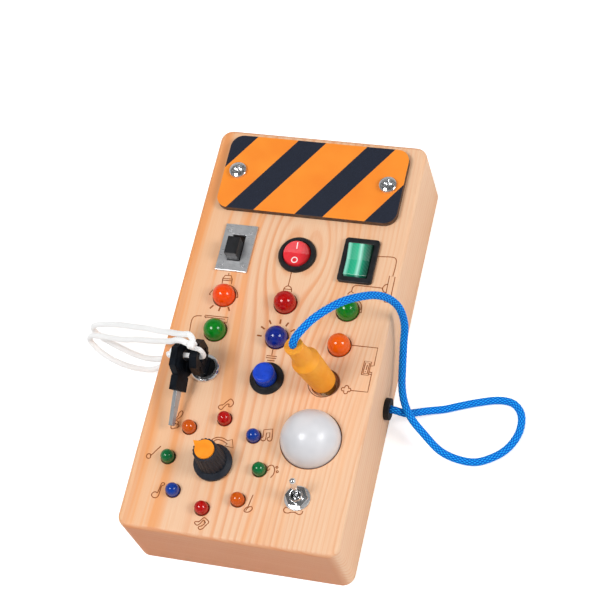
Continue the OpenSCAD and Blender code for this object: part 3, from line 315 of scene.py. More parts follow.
# the engraved lines on the wood, 1 for a curve and 0 for straight pieces; like all measures of this
# section they are in millimetres
LINE_WIDTH, RAY_WIDTH, RIM_WIDTH, PRINT_WIDTH = 0.44, 0.75, 0.34, 0.5
BURN_DEPTH, BURN_PROUD, RIM_PROUD = 0.1, 0.02, 0.015
LAMP_MARKS = [
    (0, [(-28.8, 25.6), (-28.7, 24.5)]),
    (0, [(-30.7, 20.0), (-31.0, 22.6), (-30.2, 24.2), (-27.4, 24.4), (-26.5, 22.7), (-26.3, 20.2)]),
    (0, [(-31.0, 22.6), (-26.5, 22.7)]), (0, [(-31.1, 21.7), (-26.4, 21.8)]),
    (1, [(-27.1, 19.6), (-24.9, 18.7), (-23.0, 17.0), (-22.1, 15.4), (-21.7, 13.9)]),
    (0, [(-21.7, 13.9), (-23.3, 13.8)]), (1, [(-34.1, 16.4), (-34.8, 15.3), (-35.4, 13.8)]),
    (0, [(-35.4, 13.8), (-34.7, 13.8)]),
    (1, [(-39.5, -8.5), (-40.1, -3.4), (-40.3, -0.1), (-39.8, 1.7), (-38.5, 2.5), (-36.2, 2.8)]),
    (0, [(-34.7, 2.5), (-34.6, 3.3), (-23.7, 3.5), (-23.7, 0.8), (-25.3, 0.9)]),
    (0, [(-33.8, 1.9), (-34.7, 2.5), (-25.0, 2.5)]), (0, [(0.1, 29.9), (0.2, 26.4), (0.2, 22.4)]),
    (1, [(-1.5, 19.6), (-1.3, 21.4), (0.2, 22.5), (1.8, 21.7), (2.4, 19.6)]), (0, [(-1.3, 20.8), (2.3, 20.9)]),
    (0, [(0.4, -9.3), (0.6, -12.1)]), (0, [(-0.9, -14.7), (2.5, -14.6)]),
    (0, [(3.0, -12.4), (-1.7, -12.5), (-1.7, -13.5), (3.0, -13.4)])]
CIRCUIT_MARKS = [
    (1, [(36.9, 42.0), (41.2, 42.3), (44.3, 42.5), (46.0, 42.1), (46.7, 41.0), (46.9, 39.5), (46.9, 36.3),
         (46.7, 33.2)]), (0, [(45.4, 20.1), (45.2, 33.1), (47.8, 32.8), (47.9, 19.9), (45.4, 20.1)]),
    (1, [(45.4, 29.1), (44.0, 28.2), (43.3, 26.6), (44.0, 25.2), (45.4, 24.6)]),
    (1, [(43.2, 26.7), (37.5, 26.7), (31.7, 26.6), (30.4, 26.2), (29.8, 25.2), (29.7, 23.3)]),
    (1, [(28.2, 21.7), (28.7, 22.7), (29.7, 23.2), (30.7, 22.7)]),
    (1, [(33.8, 19.2), (35.1, 18.0), (35.8, 16.6), (36.0, 15.3)]),
    (0, [(34.5, 15.2), (36.1, 15.2), (36.3, 13.6), (34.6, 13.6)]),
    (0, [(34.6, -2.6), (47.2, -2.4), (47.3, -11.0), (46.0, -11.3)]),
    (0, [(42.5, -15.8), (42.7, -9.3), (45.8, -9.4), (45.6, -15.9), (42.5, -15.8)]),
    (0, [(43.1, -15.1), (43.3, -10.0), (45.2, -10.1), (45.0, -15.2), (43.1, -15.1)]),
    (0, [(44.3, -10.9), (44.2, -13.4)]), (0, [(44.0, -14.0), (44.0, -14.5)]),
    (0, [(45.7, -14.2), (47.0, -14.3), (47.0, -15.2), (45.7, -15.2)]),
    (0, [(47.0, -15.1), (47.1, -23.7), (39.5, -23.9)]),
    (1, [(38.3, -23.1), (39.1, -23.0), (39.5, -23.8), (39.0, -24.6), (38.3, -24.5), (38.2, -25.3), (37.4, -25.8),
         (36.6, -25.3), (36.5, -24.5), (35.8, -24.6), (35.2, -23.8), (35.7, -23.0), (36.5, -23.1), (36.6, -22.3),
         (37.4, -21.8), (38.2, -22.3), (38.3, -23.1)])]
NOTE_MARKS = [
    (1, [(-17.4, -39.0), (-17.6, -39.8), (-16.8, -40.6), (-15.8, -40.6), (-15.3, -39.7), (-14.6, -38.6),
         (-13.7, -37.7), (-13.0, -38.0), (-13.1, -38.8), (-12.2, -38.9), (-11.3, -37.7), (-11.4, -36.5),
         (-12.8, -35.2), (-13.8, -36.0), (-15.9, -38.5), (-16.7, -38.6), (-17.4, -39.0)]),
    (1, [(-35.4, -50.1), (-34.8, -50.4), (-35.7, -49.8), (-35.7, -48.4), (-34.8, -46.5), (-34.7, -45.0),
         (-33.7, -43.8), (-32.9, -44.6), (-33.3, -46.4), (-35.0, -48.3), (-35.5, -49.6), (-34.4, -50.3),
         (-33.8, -49.4), (-34.9, -48.6)]),
    (1, [(-35.4, -50.1), (-36.3, -50.9), (-36.7, -52.0), (-36.0, -52.8), (-35.0, -52.4), (-33.6, -51.8),
         (-33.1, -50.9), (-34.1, -50.3)]),
    (1, [(-42.4, -66.2), (-43.0, -65.7), (-44.0, -66.1), (-44.2, -67.1), (-43.3, -67.9), (-42.3, -67.5),
         (-42.4, -66.2)]), (0, [(-42.4, -66.6), (-38.9, -61.5)]),
    (1, [(-34.8, -82.9), (-35.9, -82.6), (-37.0, -83.2), (-37.2, -84.3), (-36.2, -85.2), (-34.8, -85.1),
         (-34.1, -84.1), (-33.9, -81.8), (-33.7, -79.4), (-32.7, -78.8), (-32.9, -78.0), (-34.0, -78.2),
         (-34.4, -80.6), (-34.8, -82.9)]),
    (1, [(-15.0, -93.8), (-14.7, -93.1), (-13.3, -93.0), (-12.3, -91.9), (-11.3, -90.8), (-10.0, -91.4),
         (-8.8, -92.5), (-9.8, -94.2), (-10.7, -95.6), (-11.7, -96.3), (-12.7, -95.9), (-12.6, -95.0),
         (-11.5, -94.6), (-10.3, -92.9), (-11.3, -92.0), (-12.6, -93.9), (-13.7, -94.6), (-15.0, -93.8)]),
    (0, [(-11.0, -92.6), (-10.1, -93.0)]), (0, [(7.6, -77.5), (7.1, -80.1), (6.7, -83.0)]),
    (1, [(6.7, -83.0), (5.8, -83.8), (5.4, -85.2), (6.7, -85.6), (8.0, -85.0), (8.7, -83.8), (8.3, -82.9),
         (7.3, -83.0), (6.4, -84.0), (6.1, -85.0)]),
    (1, [(12.2, -64.7), (11.4, -65.7), (11.0, -64.8), (11.4, -63.6), (12.6, -63.0), (13.7, -63.6), (14.4, -65.4),
         (14.2, -67.2), (13.4, -68.7)]),
    (1, [(14.5, -63.6), (15.1, -63.2), (15.6, -63.7), (15.1, -64.1), (14.5, -63.6)]),
    (1, [(15.2, -65.5), (15.7, -65.1), (16.2, -65.6), (15.7, -66.1), (15.2, -65.5)]),
    (0, [(5.7, -50.8), (5.3, -47.4), (9.2, -46.5), (9.9, -51.1)]),
    (0, [(7.1, -51.5), (6.9, -48.7), (8.3, -48.4), (8.6, -50.5)]),
    (1, [(9.9, -51.1), (9.6, -52.0), (8.6, -52.2), (7.8, -51.6), (7.9, -50.8), (8.6, -50.5)]),
    (1, [(7.1, -51.5), (6.8, -52.3), (5.9, -52.5), (5.0, -52.0), (5.1, -51.1), (5.7, -50.8)]),
    (1, [(-17.4, -56.0), (-16.0, -54.6), (-14.4, -53.8), (-12.0, -53.8), (-9.5, -54.8)]),
    (0, [(-9.5, -54.8), (-7.7, -53.8), (-6.3, -57.7), (-10.4, -57.2), (-9.4, -56.2)]),
    (1, [(-9.4, -56.2), (-11.8, -55.1), (-13.9, -54.8), (-15.2, -55.3), (-16.0, -56.4)]),
    (1, [(24.6, -83.3), (23.2, -83.2), (22.4, -82.2), (22.9, -81.0), (24.2, -80.7)]),
    (1, [(24.6, -83.3), (26.2, -82.6), (27.8, -82.6), (29.4, -83.2), (30.6, -82.6), (30.8, -81.4)])]
# the middles of the short rays, and the point that each group of rays runs out from
RAYS = [((-28, 13.7), [(-32.7, 7.8), (-28.8, 7.2), (-24.5, 7.8)]),
        ((1, -3.7), [(-3.9, 3.8), (0.7, 4.6), (4.1, 3.6), (-6.6, 0.6), (-7.3, -3.4), (7.3, 1.0), (7.8, -3.0)])]
RAY_HALF = 1.1
# the diameters of the burnt rims, the circle of the ring lamps and the plug hole's place
LAMP_RIM, RING_LAMP_RIM, DOME_RIM, PLUG_RIM = 10.7, 6.6, 27.3, 13.6
RING_REACH, RING_LAMPS, PLUG_HOLE = 21, 8, (26.6, -22)
# the round rocker: its pivot above the wood, its top above the pivot, the slope of each half and its tip
PIVOT_UP, VALLEY_UP, ROCKER_SLOPE = 0.5, 2.7, math.radians(8)


def round_stroke(x, y, across):
    """A full circle as one stroke, its ends meeting."""
    turn = np.linspace(0, TURN, 49)
    return 0, np.stack([x + across / 2 * np.cos(turn), y + across / 2 * np.sin(turn)], -1)


def middle(node):
    """The middle of a node's box seen from above, in millimetres."""
    low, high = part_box(node)
    return (low[0] + high[0]) / 2 / MM, (low[1] + high[1]) / 2 / MM


def engrave_wood():
    """Lines of the laser on the wood: marks beside the lamps, short rays round two of them."""
    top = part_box("case_body")[1][2] / MM
    rays = [(0, [p + a * (p - centre) / np.linalg.norm(p - centre) for a in (-RAY_HALF, RAY_HALF)])
            for centre, places in RAYS for p in np.array(places)]
    lines = LAMP_MARKS + CIRCUIT_MARKS + NOTE_MARKS
    return [ribbons(name, strokes, width, top - BURN_DEPTH, top + BURN_PROUD)
            for name, strokes, width in (("engraved_lines", lines, LINE_WIDTH), ("engraved_rays", rays, RAY_WIDTH))]


def scorch_rims():
    """The scorched rim of each laser-cut hole in the wood, a third of a millimetre wide."""
    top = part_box("case_body")[1][2] / MM
    red, blue, knob = middle("lamp_red"), middle("lamp_blue"), middle("knob_grip")
    side = [middle("key_head")[0], middle("square_rocker_housing")[0]]
    rims = [round_stroke(x, y, LAMP_RIM) for x in (side[0], red[0], side[1]) for y in (red[1], blue[1])]
    rims += [round_stroke(knob[0] + RING_REACH * math.cos(a), knob[1] + RING_REACH * math.sin(a), RING_LAMP_RIM)
             for a in np.arange(RING_LAMPS) * TURN / RING_LAMPS]
    rims += [round_stroke(*middle("dome_cap"), DOME_RIM), round_stroke(*PLUG_HOLE, PLUG_RIM)]
    return ribbons("scorched_rims", rims, RIM_WIDTH, top - BURN_DEPTH, top + RIM_PROUD)


def print_on_rocker():
    """The white line and ring printed on the round rocker, laid on its two sloping halves. The rocker's
    top is a valley of 8 degrees each way, tipped 8 degrees towards its far end about its pivot."""
    x, y = middle("round_rocker_housing")
    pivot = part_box("case_body")[1][2] / MM + PIVOT_UP
    ring = np.linspace(0, TURN, 33)
    line_from, line_to, ring_at, ring_reach, off_middle = 1.9, 4.9, -3.5, 1.3, 0.1
    strokes = [(0, [(off_middle, t) for t in np.linspace(line_from, line_to, 7)]),
               (0, np.stack([off_middle + ring_reach * np.cos(ring), ring_at + ring_reach * np.sin(ring)], -1))]
    piece = ribbons("rocker_print", strokes, PRINT_WIDTH, 0, 0.05)
    place = np.array([v.co for v in piece.data.vertices]) / MM
    along, up = place[:, 1].copy(), VALLEY_UP + np.abs(place[:, 1]) * math.tan(ROCKER_SLOPE) + place[:, 2]
    place[:, 1] = y + along * math.cos(ROCKER_SLOPE) - up * math.sin(ROCKER_SLOPE)
    place[:, 2] = pivot + along * math.sin(ROCKER_SLOPE) + up * math.cos(ROCKER_SLOPE)
    place[:, 0] += x
    piece.data.vertices.foreach_set("co", (place * MM).ravel())
    piece.data.update()
    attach(piece, "round_rocker")
    return piece


# ---- finishes ----

def linear(code):
    """The linear colour of an sRGB hex code."""
    c = np.array([int(code[i:i + 2], 16) for i in (1, 3, 5)]) / 255
    return (*np.where(c <= 0.04045, c / 12.92, ((c + 0.055) / 1.055) ** 2.4).tolist(), 1.0)


def add(tree, kind, links=(), **settings):
    """Adds one node. links fills its inputs, in order or by name or number, from a value, a hex colour, a
    socket or a node's first live output; settings are its properties, and stops are the places and
    colours of a ramp."""
    made = tree.nodes.new("ShaderNode" + kind)
    stops = settings.pop("stops", ())
    for _ in stops[2:]:
        made.color_ramp.elements.new(0.5)
    for element, (place, colour) in zip(made.color_ramp.elements if stops else (), stops):
        element.position, element.color = place, linear(colour)
    for name, value in settings.items():
        setattr(made, name, value)
    for name, value in links.items() if isinstance(links, dict) else enumerate(links):
        if isinstance(value, bpy.types.Node):
            value = next(o for o in value.outputs if o.enabled)
        if isinstance(value, bpy.types.NodeSocket):
            tree.links.new(value, made.inputs[name])
        else:
            made.inputs[name].default_value = linear(value) if isinstance(value, str) else value
    return made


def new_finish(name):
    """An empty material and its tree."""
    material = bpy.data.materials.new(name)
    material.use_nodes = True
    material.node_tree.nodes.clear()
    return material, material.node_tree


def close_finish(tree, colour, roughness, height=None, depth=0.1, **constants):
    """Ends a tree in one shader: colour and roughness from the pattern, relief from height, depth in
    millimetres, and the finish's constant numbers set on the shader itself."""
    links = {"Base Color": colour, "Roughness": roughness}
    if height is not None:
        links["Normal"] = add(tree, "Bump", {"Height": height, "Distance": depth * MM, "Strength": 1.0})
    links |= {name.replace("_", " "): value for name, value in constants.items()}
    shader = add(tree, "BsdfPrincipled", links)
    add(tree, "OutputMaterial", {"Surface": shader})


def millimetres(tree):
    """Object coordinates in millimetres, as one vector and as x, y and z."""
    place = add(tree, "TexCoord")
    scaled = add(tree, "VectorMath", {0: place.outputs["Object"], "Scale": 1 / MM}, operation="SCALE")
    split = add(tree, "SeparateXYZ", [scaled.outputs["Vector"]])
    return scaled.outputs["Vector"], split.outputs[0], split.outputs[1], split.outputs[2]


def oiled_pine():
    """Pine, planed, sanded and oiled: soft pale early wood, thin orange late wood in lines along the
    block that part round a knot at the middle switch, satin, with faint fibre grooves."""
    material, tree = new_finish("oiled_pine")
    vector, x, y, z = millimetres(tree)
    # lines of flow round a knot: x' = x (1 - r^2 / (d^2 + c^2)), d measured on a circle drawn out along y
    knot_x, knot_y, drawn_out, push_area, core_area = 3.0, 40.0, 0.55, 240.0, 130.0
    off_x = add(tree, "Math", [x, knot_x], operation="SUBTRACT")
    off_y = add(tree, "Math", [y, knot_y], operation="SUBTRACT")
    off_y = add(tree, "Math", [off_y, drawn_out], operation="MULTIPLY")
    square_x = add(tree, "Math", [off_x, off_x], operation="MULTIPLY")
    square_y = add(tree, "Math", [off_y, off_y], operation="MULTIPLY")
    span = add(tree, "Math", [square_x, square_y], operation="ADD")
    span = add(tree, "Math", [span, core_area], operation="ADD")
    push = add(tree, "Math", [push_area, span], operation="DIVIDE")
    kept = add(tree, "Math", [1.0, push], operation="SUBTRACT")
    flow = add(tree, "Math", [off_x, kept], operation="MULTIPLY")
    stretched = add(tree, "Mapping", {"Vector": vector, "Scale": (0.022, 0.008, 0.02)})
    drift = add(tree, "TexNoise", {"Vector": stretched, "Scale": 1.0, "Detail": 2.0, "Roughness": 0.5})
    wander = add(tree, "Math", [drift, 0.5], operation="SUBTRACT")
    wander = add(tree, "Math", [wander, 9.0], operation="MULTIPLY")
    bent = add(tree, "Math", [flow, wander], operation="ADD")

    # yearly rings 1.6 mm apart: distance from a pith line below and left of the block
    pith_left, pith_below, ring_step = 34.0, 26.0, 1.6
    from_pith = add(tree, "Math", [bent, pith_left], operation="ADD")
    below = add(tree, "Math", [z, pith_below], operation="ADD")
    square_x = add(tree, "Math", [from_pith, from_pith], operation="MULTIPLY")
    square_z = add(tree, "Math", [below, below], operation="MULTIPLY")
    reach = add(tree, "Math", [square_x, square_z], operation="ADD")
    reach = add(tree, "Math", [reach], operation="SQRT")
    # on the sawn ends the layers lie nearly level
    end = add(tree, "Math", [y], operation="ABSOLUTE")
    end = add(tree, "MapRange", {"Value": end, "From Min": 98.2, "From Max": 99.95})
    on_end = add(tree, "Math", [end, 0.5], operation="GREATER_THAN")
    level = add(tree, "Math", [x, 0.1, z], operation="MULTIPLY_ADD")
    little = add(tree, "Math", [wander, 0.6], operation="MULTIPLY")
    level = add(tree, "Math", [level, little], operation="ADD")
    reach = add(tree, "Mix", {0: on_end, 2: reach, 3: level})
    years = add(tree, "Math", [reach, ring_step], operation="DIVIDE")
    year = add(tree, "Math", [years], operation="FLOOR")
    within = add(tree, "Math", [years], operation="FRACT")
    late = add(tree, "ValToRGB", [within], stops=[
        (0.0, "#909090"), (0.12, "#000000"), (0.5, "#303030"), (0.86, "#FFFFFF"), (1.0, "#E0E0E0")])
    # each year has its own strength, and patches and the right half have weaker lines
    strength = add(tree, "TexWhiteNoise", {"W": year}, noise_dimensions="1D")
    strength = add(tree, "Math", [strength, 0.6, 0.4], operation="MULTIPLY_ADD")
    stretched = add(tree, "Mapping", {"Vector": vector, "Scale": (0.03, 0.009, 0.03)})
    patch = add(tree, "TexNoise", {"Vector": stretched, "Scale": 1.0, "Detail": 1.0})
    patch = add(tree, "MapRange", {"Value": patch, "From Min": 0.35, "From Max": 0.65,
                                   "To Min": 0.6, "To Max": 1.0})
    mask = add(tree, "Math", [strength, patch], operation="MULTIPLY")
    fade = add(tree, "MapRange", {"Value": x, "From Min": 0.0, "From Max": 45.0, "To Min": 1.0, "To Max": 0.5})
    mask = add(tree, "Math", [mask, fade], operation="MULTIPLY")
    ring = add(tree, "Math", [late, mask], operation="MULTIPLY")

    # broad orange streaks, strongest towards the left edge and absent from the sawn ends
    across = add(tree, "Math", [bent, 0.16], operation="MULTIPLY")
    along = add(tree, "Math", [y, 0.006], operation="MULTIPLY")
    deep = add(tree, "Math", [z, 0.02], operation="MULTIPLY")
    bands = add(tree, "CombineXYZ", [across, along, deep])
    streak = add(tree, "TexNoise", {"Vector": bands, "Scale": 1.0, "Detail": 2.0, "Roughness": 0.6})
    streak = add(tree, "MapRange", {"Value": streak, "From Min": 0.5, "From Max": 0.62})
    left = add(tree, "MapRange", {"Value": x, "From Min": -50.0, "From Max": 30.0, "To Min": 1.0, "To Max": 0.3})
    broad = add(tree, "Math", [streak, left], operation="MULTIPLY")
    off_end = add(tree, "Math", [1.0, end], operation="SUBTRACT")
    broad = add(tree, "Math", [broad, off_end], operation="MULTIPLY")

    # fibres four tenths of a millimetre apart, as fine as the render can show
    stretched = add(tree, "Mapping", {"Vector": vector, "Scale": (2.6, 0.05, 2.6)})
    fibre = add(tree, "TexNoise", {"Vector": stretched, "Scale": 1.0, "Detail": 3.0})
    fine = add(tree, "MapRange", {"Value": fibre, "From Min": 0.3, "From Max": 0.7})
    plain = add(tree, "Mix", {0: fine, 6: "#F3CAA6", 7: "#EFBF98"}, data_type="RGBA")
    sappy = add(tree, "MapRange", {"Value": bent, "From Min": -44.0, "From Max": -30.0,
                                   "To Min": 0.55, "To Max": 0.0})
    toned = add(tree, "Mix", {0: sappy, 6: plain, 7: "#F0B482"}, data_type="RGBA")
    warmed = add(tree, "Mix", {0: broad, 6: toned, 7: "#F2A464"}, data_type="RGBA")
    lined = add(tree, "Mix", {0: ring, 6: warmed, 7: "#E39058"}, data_type="RGBA")
    # painted shade: the sawn ends are multiplied darker, towards brown
    end_shade_share = add(tree, "Math", [end, 0.75], operation="MULTIPLY")
    shade_darkened_ends = add(tree, "Mix", {0: end_shade_share, 6: lined, 7: "#E0AE88"}, data_type="RGBA", blend_type="MULTIPLY")
    rough = add(tree, "MapRange", {"Value": fibre, "To Min": 0.42, "To Max": 0.58})
    groove = add(tree, "Math", [ring, 0.6, fibre], operation="MULTIPLY_ADD")
    close_finish(tree, shade_darkened_ends, rough, groove, 0.05, Specular_IOR_Level=0.35)
    return material


def birch_ply():
    """Three-ply birch, sanded: pale faces with short flecks, a darker glue line at each ply on its edge."""
    material, tree = new_finish("birch_ply")
    vector, x, y, z = millimetres(tree)
    stretched = add(tree, "Mapping", {"Vector": vector, "Scale": (0.9, 0.08, 0.9)})
    fleck = add(tree, "TexNoise", {"Vector": stretched, "Scale": 1.0, "Detail": 4.0})
    face = add(tree, "ValToRGB", [fleck], stops=[(0.3, "#E9CDA0"), (0.55, "#DDB986"), (0.75, "#CDA26B")])
    height = add(tree, "CombineXYZ", {2: z})
    plies = add(tree, "TexWave", {"Vector": height, "Scale": 0.31, "Distortion": 0.1}, bands_direction="Z")
    glue = add(tree, "MapRange", {"Value": plies.outputs["Fac"], "From Min": 0.85, "From Max": 1.0, "To Max": 0.4})
    edge = add(tree, "Mix", {0: glue, 6: face, 7: "#9A6F42"}, data_type="RGBA")
    close_finish(tree, edge, 0.6, fleck, 0.04, Specular_IOR_Level=0.3)
    return material


def striped_print():
    """Plywood printed in orange with slanted dark bands, matt lacquer with a fine speckle; its laser-cut
    edge is charred dark brown."""
    material, tree = new_finish("striped_print_on_ply")
    vector, x, y, z = millimetres(tree)
    # a band's edge moves 26.5 mm along x for 38.5 mm along y; the count starts ten bands outside the
    # cover, so that it never falls below nought
    slant, far_edge, band_step, dark_band, first_band = 26.5 / 38.5, 57.5, 33.15, 13.4, 37.5 + 10 * 33.15
    slid = add(tree, "Math", [y, far_edge], operation="SUBTRACT")
    slid = add(tree, "Math", [slid, slant], operation="MULTIPLY")
    slid = add(tree, "Math", [x, slid], operation="SUBTRACT")
    slid = add(tree, "Math", [slid, first_band], operation="ADD")
    share = add(tree, "Math", [slid, band_step], operation="DIVIDE")
    share = add(tree, "Math", [share], operation="FRACT")
    dark = add(tree, "Math", [share, dark_band / band_step], operation="LESS_THAN")
    speckle = add(tree, "TexNoise", {"Vector": vector, "Scale": 3.2, "Detail": 2.0, "Roughness": 0.7})
    cloud = add(tree, "TexNoise", {"Vector": vector, "Scale": 0.06, "Detail": 2.0})
    navy = add(tree, "ValToRGB", [speckle], stops=[(0.35, "#161B29"), (0.62, "#232A3C"), (0.75, "#3A4358")])
    orange = add(tree, "ValToRGB", [cloud], stops=[(0.3, "#FF9626"), (0.7, "#FB8A1E")])
    print_ = add(tree, "Mix", {0: dark, 6: orange, 7: navy}, data_type="RGBA")
    burn = add(tree, "TexNoise", {"Vector": vector, "Scale": 0.5, "Detail": 3.0})
    char = add(tree, "ValToRGB", [burn], stops=[(0.35, "#33241B"), (0.65, "#5C3A25")])
    top = add(tree, "MapRange", {"Value": z, "From Min": 40.86, "From Max": 40.93})
    colour = add(tree, "Mix", {0: top, 6: char, 7: print_}, data_type="RGBA")
    close_finish(tree, colour, 0.42, speckle, 0.03, Specular_IOR_Level=0.45)
    return material


def moulded_plastic(name, light, dark, roughness, grain=1.8, depth=0.02, **constants):
    """Injection-moulded plastic: one through colour, drifting slightly, with the fine pebble grain of a
    textured mould at about half a millimetre."""
    material, tree = new_finish(name)
    vector = millimetres(tree)[0]
    drift = add(tree, "TexNoise", {"Vector": vector, "Scale": 0.25, "Detail": 3.0})
    colour = add(tree, "ValToRGB", [drift], stops=[(0.35, light), (0.65, dark)])
    pebble = add(tree, "TexNoise", {"Vector": vector, "Scale": grain, "Detail": 2.0, "Roughness": 0.6})
    rough = add(tree, "MapRange", {"Value": pebble, "From Min": 0.3, "From Max": 0.7,
                                   "To Min": roughness - 0.06, "To Max": roughness + 0.06})
    close_finish(tree, colour, rough, pebble, depth, **({"Specular_IOR_Level": 0.3} | constants))
    return material


def bright_metal(name, light, dark, roughness, along, metallic=0.75):
    """Plated or polished metal: scratches drawn out along the working direction, and a faint cloud of duller plating."""
    material, tree = new_finish(name)
    vector = millimetres(tree)[0]
    stretched = add(tree, "Mapping", {"Vector": vector, "Scale": along})
    scratch = add(tree, "TexNoise", {"Vector": stretched, "Scale": 1.0, "Detail": 4.0, "Roughness": 0.65})
    cloud = add(tree, "TexNoise", {"Vector": vector, "Scale": 0.35, "Detail": 3.0})
    colour = add(tree, "ValToRGB", [cloud], stops=[(0.35, light), (0.7, dark)])
    rough = add(tree, "MapRange", {"Value": scratch, "From Min": 0.3, "From Max": 0.75,
                                   "To Min": roughness * 0.85, "To Max": roughness * 1.2})
    close_finish(tree, colour, rough, cloud, 0.004, Metallic=metallic)
    return material


def tinted_lens(name, colour, deep, right=None):
    """Cast epoxy, dyed through: a glass-smooth dome over a slightly cloudy body. right is the colour of
    the lamps on the right half of the board, where it is another than on the left."""
    material, tree = new_finish(name)
    vector, x, y, z = millimetres(tree)
    cloud = add(tree, "TexNoise", {"Vector": vector, "Scale": 0.5, "Detail": 2.0})
    tint = add(tree, "ValToRGB", [cloud], stops=[(0.3, colour), (0.75, deep)])
    if right:
        half = add(tree, "Math", [x, 0.0], operation="GREATER_THAN")
        tint = add(tree, "Mix", {0: half, 6: tint, 7: right}, data_type="RGBA")
    ripple = add(tree, "TexNoise", {"Vector": vector, "Scale": 0.4, "Detail": 1.0})
    rough = add(tree, "MapRange", {"Value": cloud, "To Min": 0.3, "To Max": 0.4})
    close_finish(tree, tint, rough, ripple, 0.002,
                 Specular_IOR_Level=0.05, Coat_Weight=0.9, Coat_Roughness=0.07, Coat_IOR=1.55)
    return material


def opal_dome():
    """Opal acrylic: milk white with light passing into it, a soft gloss, a faint grey cloud."""
    material, tree = new_finish("opal_acrylic")
    vector = millimetres(tree)[0]
    cloud = add(tree, "TexNoise", {"Vector": vector, "Scale": 0.08, "Detail": 2.0})
    tint = add(tree, "ValToRGB", [cloud], stops=[(0.3, "#E6E6EA"), (0.7, "#D6D7DC")])
    close_finish(tree, tint, 0.3, cloud, 0.05, IOR=1.49, Subsurface_Weight=0.35, Subsurface_Scale=1.0,
                 Subsurface_Radius=(0.003, 0.003, 0.003), Coat_Weight=0.35, Coat_Roughness=0.28)
    return material


def woven_cord(name, light, mid, deep, strands, **constants):
    """Braided polyester: each strand is a flat bundle of filaments, with a painted highlight on its crown and painted
    shade in the gaps; the pattern counts strands on the cord's own map, whose length is in braid pitches."""
    material, tree = new_finish(name)
    lie = add(tree, "SeparateXYZ", [add(tree, "UVMap", uv_map="lie")])
    wind = add(tree, "Math", [lie.outputs[1], float(strands)], operation="MULTIPLY")
    one = add(tree, "Math", [wind, lie.outputs[0]], operation="ADD")
    two = add(tree, "Math", [wind, lie.outputs[0]], operation="SUBTRACT")
    # a strand of the first set lies on top where the two strands' numbers add up to an even number
    number = add(tree, "Math", [add(tree, "Math", [one], operation="FLOOR"),
                                add(tree, "Math", [two], operation="FLOOR")], operation="ADD")
    odd = add(tree, "Math", [number, 1.0], operation="PINGPONG")
    one, two = (add(tree, "Math", [way], operation="FRACT") for way in (one, two))
    across = add(tree, "Mix", {0: odd, 2: one, 3: two})
    length = add(tree, "Mix", {0: odd, 2: two, 3: one})
    over, under = (add(tree, "Math", [way, math.pi], operation="MULTIPLY") for way in (across, length))
    over, under = (add(tree, "Math", [way], operation="SINE") for way in (over, under))
    crown = add(tree, "Math", [over, under], operation="MULTIPLY")
    # filaments: five to a strand, as fine as the render can show
    thread = add(tree, "Math", [across, TURN * 5], operation="MULTIPLY")
    thread = add(tree, "Math", [thread], operation="SINE")
    shade = add(tree, "Math", [thread, 0.08, crown], operation="MULTIPLY_ADD")
    # painted light: the deep colour fills the gaps as painted shade, and the light colour the crowns as a painted
    # highlight
    colour = add(tree, "ValToRGB", [shade], stops=[(0.12, deep), (0.42, mid), (0.75, light)])
    close_finish(tree, colour, 0.6, shade, 0.08, Specular_IOR_Level=0.1, **constants)
    return material


def moulded_rubber():
    """Soft PVC sleeve, dull and slightly wavy from the hand mould, a warm orange."""
    material, tree = new_finish("soft_orange_pvc")
    vector = millimetres(tree)[0]
    wave = add(tree, "TexNoise", {"Vector": vector, "Scale": 0.22, "Detail": 2.0})
    fine = add(tree, "TexNoise", {"Vector": vector, "Scale": 2.2, "Detail": 2.0})
    colour = add(tree, "ValToRGB", [wave], stops=[(0.3, "#FBA826"), (0.7, "#F59A14")])
    height = add(tree, "Math", [fine, 0.06, wave], operation="MULTIPLY_ADD")
    close_finish(tree, colour, 0.5, height, 0.35, Subsurface_Weight=0.12,
                 Subsurface_Radius=(0.004, 0.002, 0.001), Subsurface_Scale=1.0)
    return material


def ribbed_lens():
    """The square rocker: teal-green acrylic, ribbed on its inner face; a painted highlight of scattered light runs
    down the middle, painted shade makes the sides go deep, and the ribs are painted faintly paler."""
    material, tree = new_finish("ribbed_green_acrylic")
    vector, x, y, z = millimetres(tree)
    offset = add(tree, "Math", [x, 29.0], operation="SUBTRACT")
    share = add(tree, "MapRange", {"Value": offset, "From Min": -5.2, "From Max": 6.2})
    # painted light across the button: pale painted highlights at 0.14 and 0.62 of its width, painted shade deepening
    # both sides
    deep = add(tree, "ValToRGB", [share], stops=[
        (0.0, "#0B5A44"), (0.14, "#8FDCC4"), (0.26, "#1FA57C"), (0.5, "#2DB98C"),
        (0.62, "#A9E8D4"), (0.74, "#18936E"), (0.88, "#0A5F48"), (1.0, "#04402F")])
    ribs = add(tree, "TexWave", {"Vector": vector, "Scale": 0.35, "Distortion": 1.2, "Detail": 2.0},
               bands_direction="DIAGONAL")
    # the ribs painted faintly paler, as scattered light
    rib_painted_light = add(tree, "Math", [ribs, 0.03], operation="MULTIPLY")
    painted_light_teal = add(tree, "Mix", {0: rib_painted_light, 6: deep, 7: "#BFF2E0"}, data_type="RGBA")
    close_finish(tree, painted_light_teal, 0.14, ribs.outputs["Fac"], 0.002, IOR=1.49, Specular_IOR_Level=0.2,
                 Coat_Weight=0.3, Coat_Roughness=0.06)
    return material


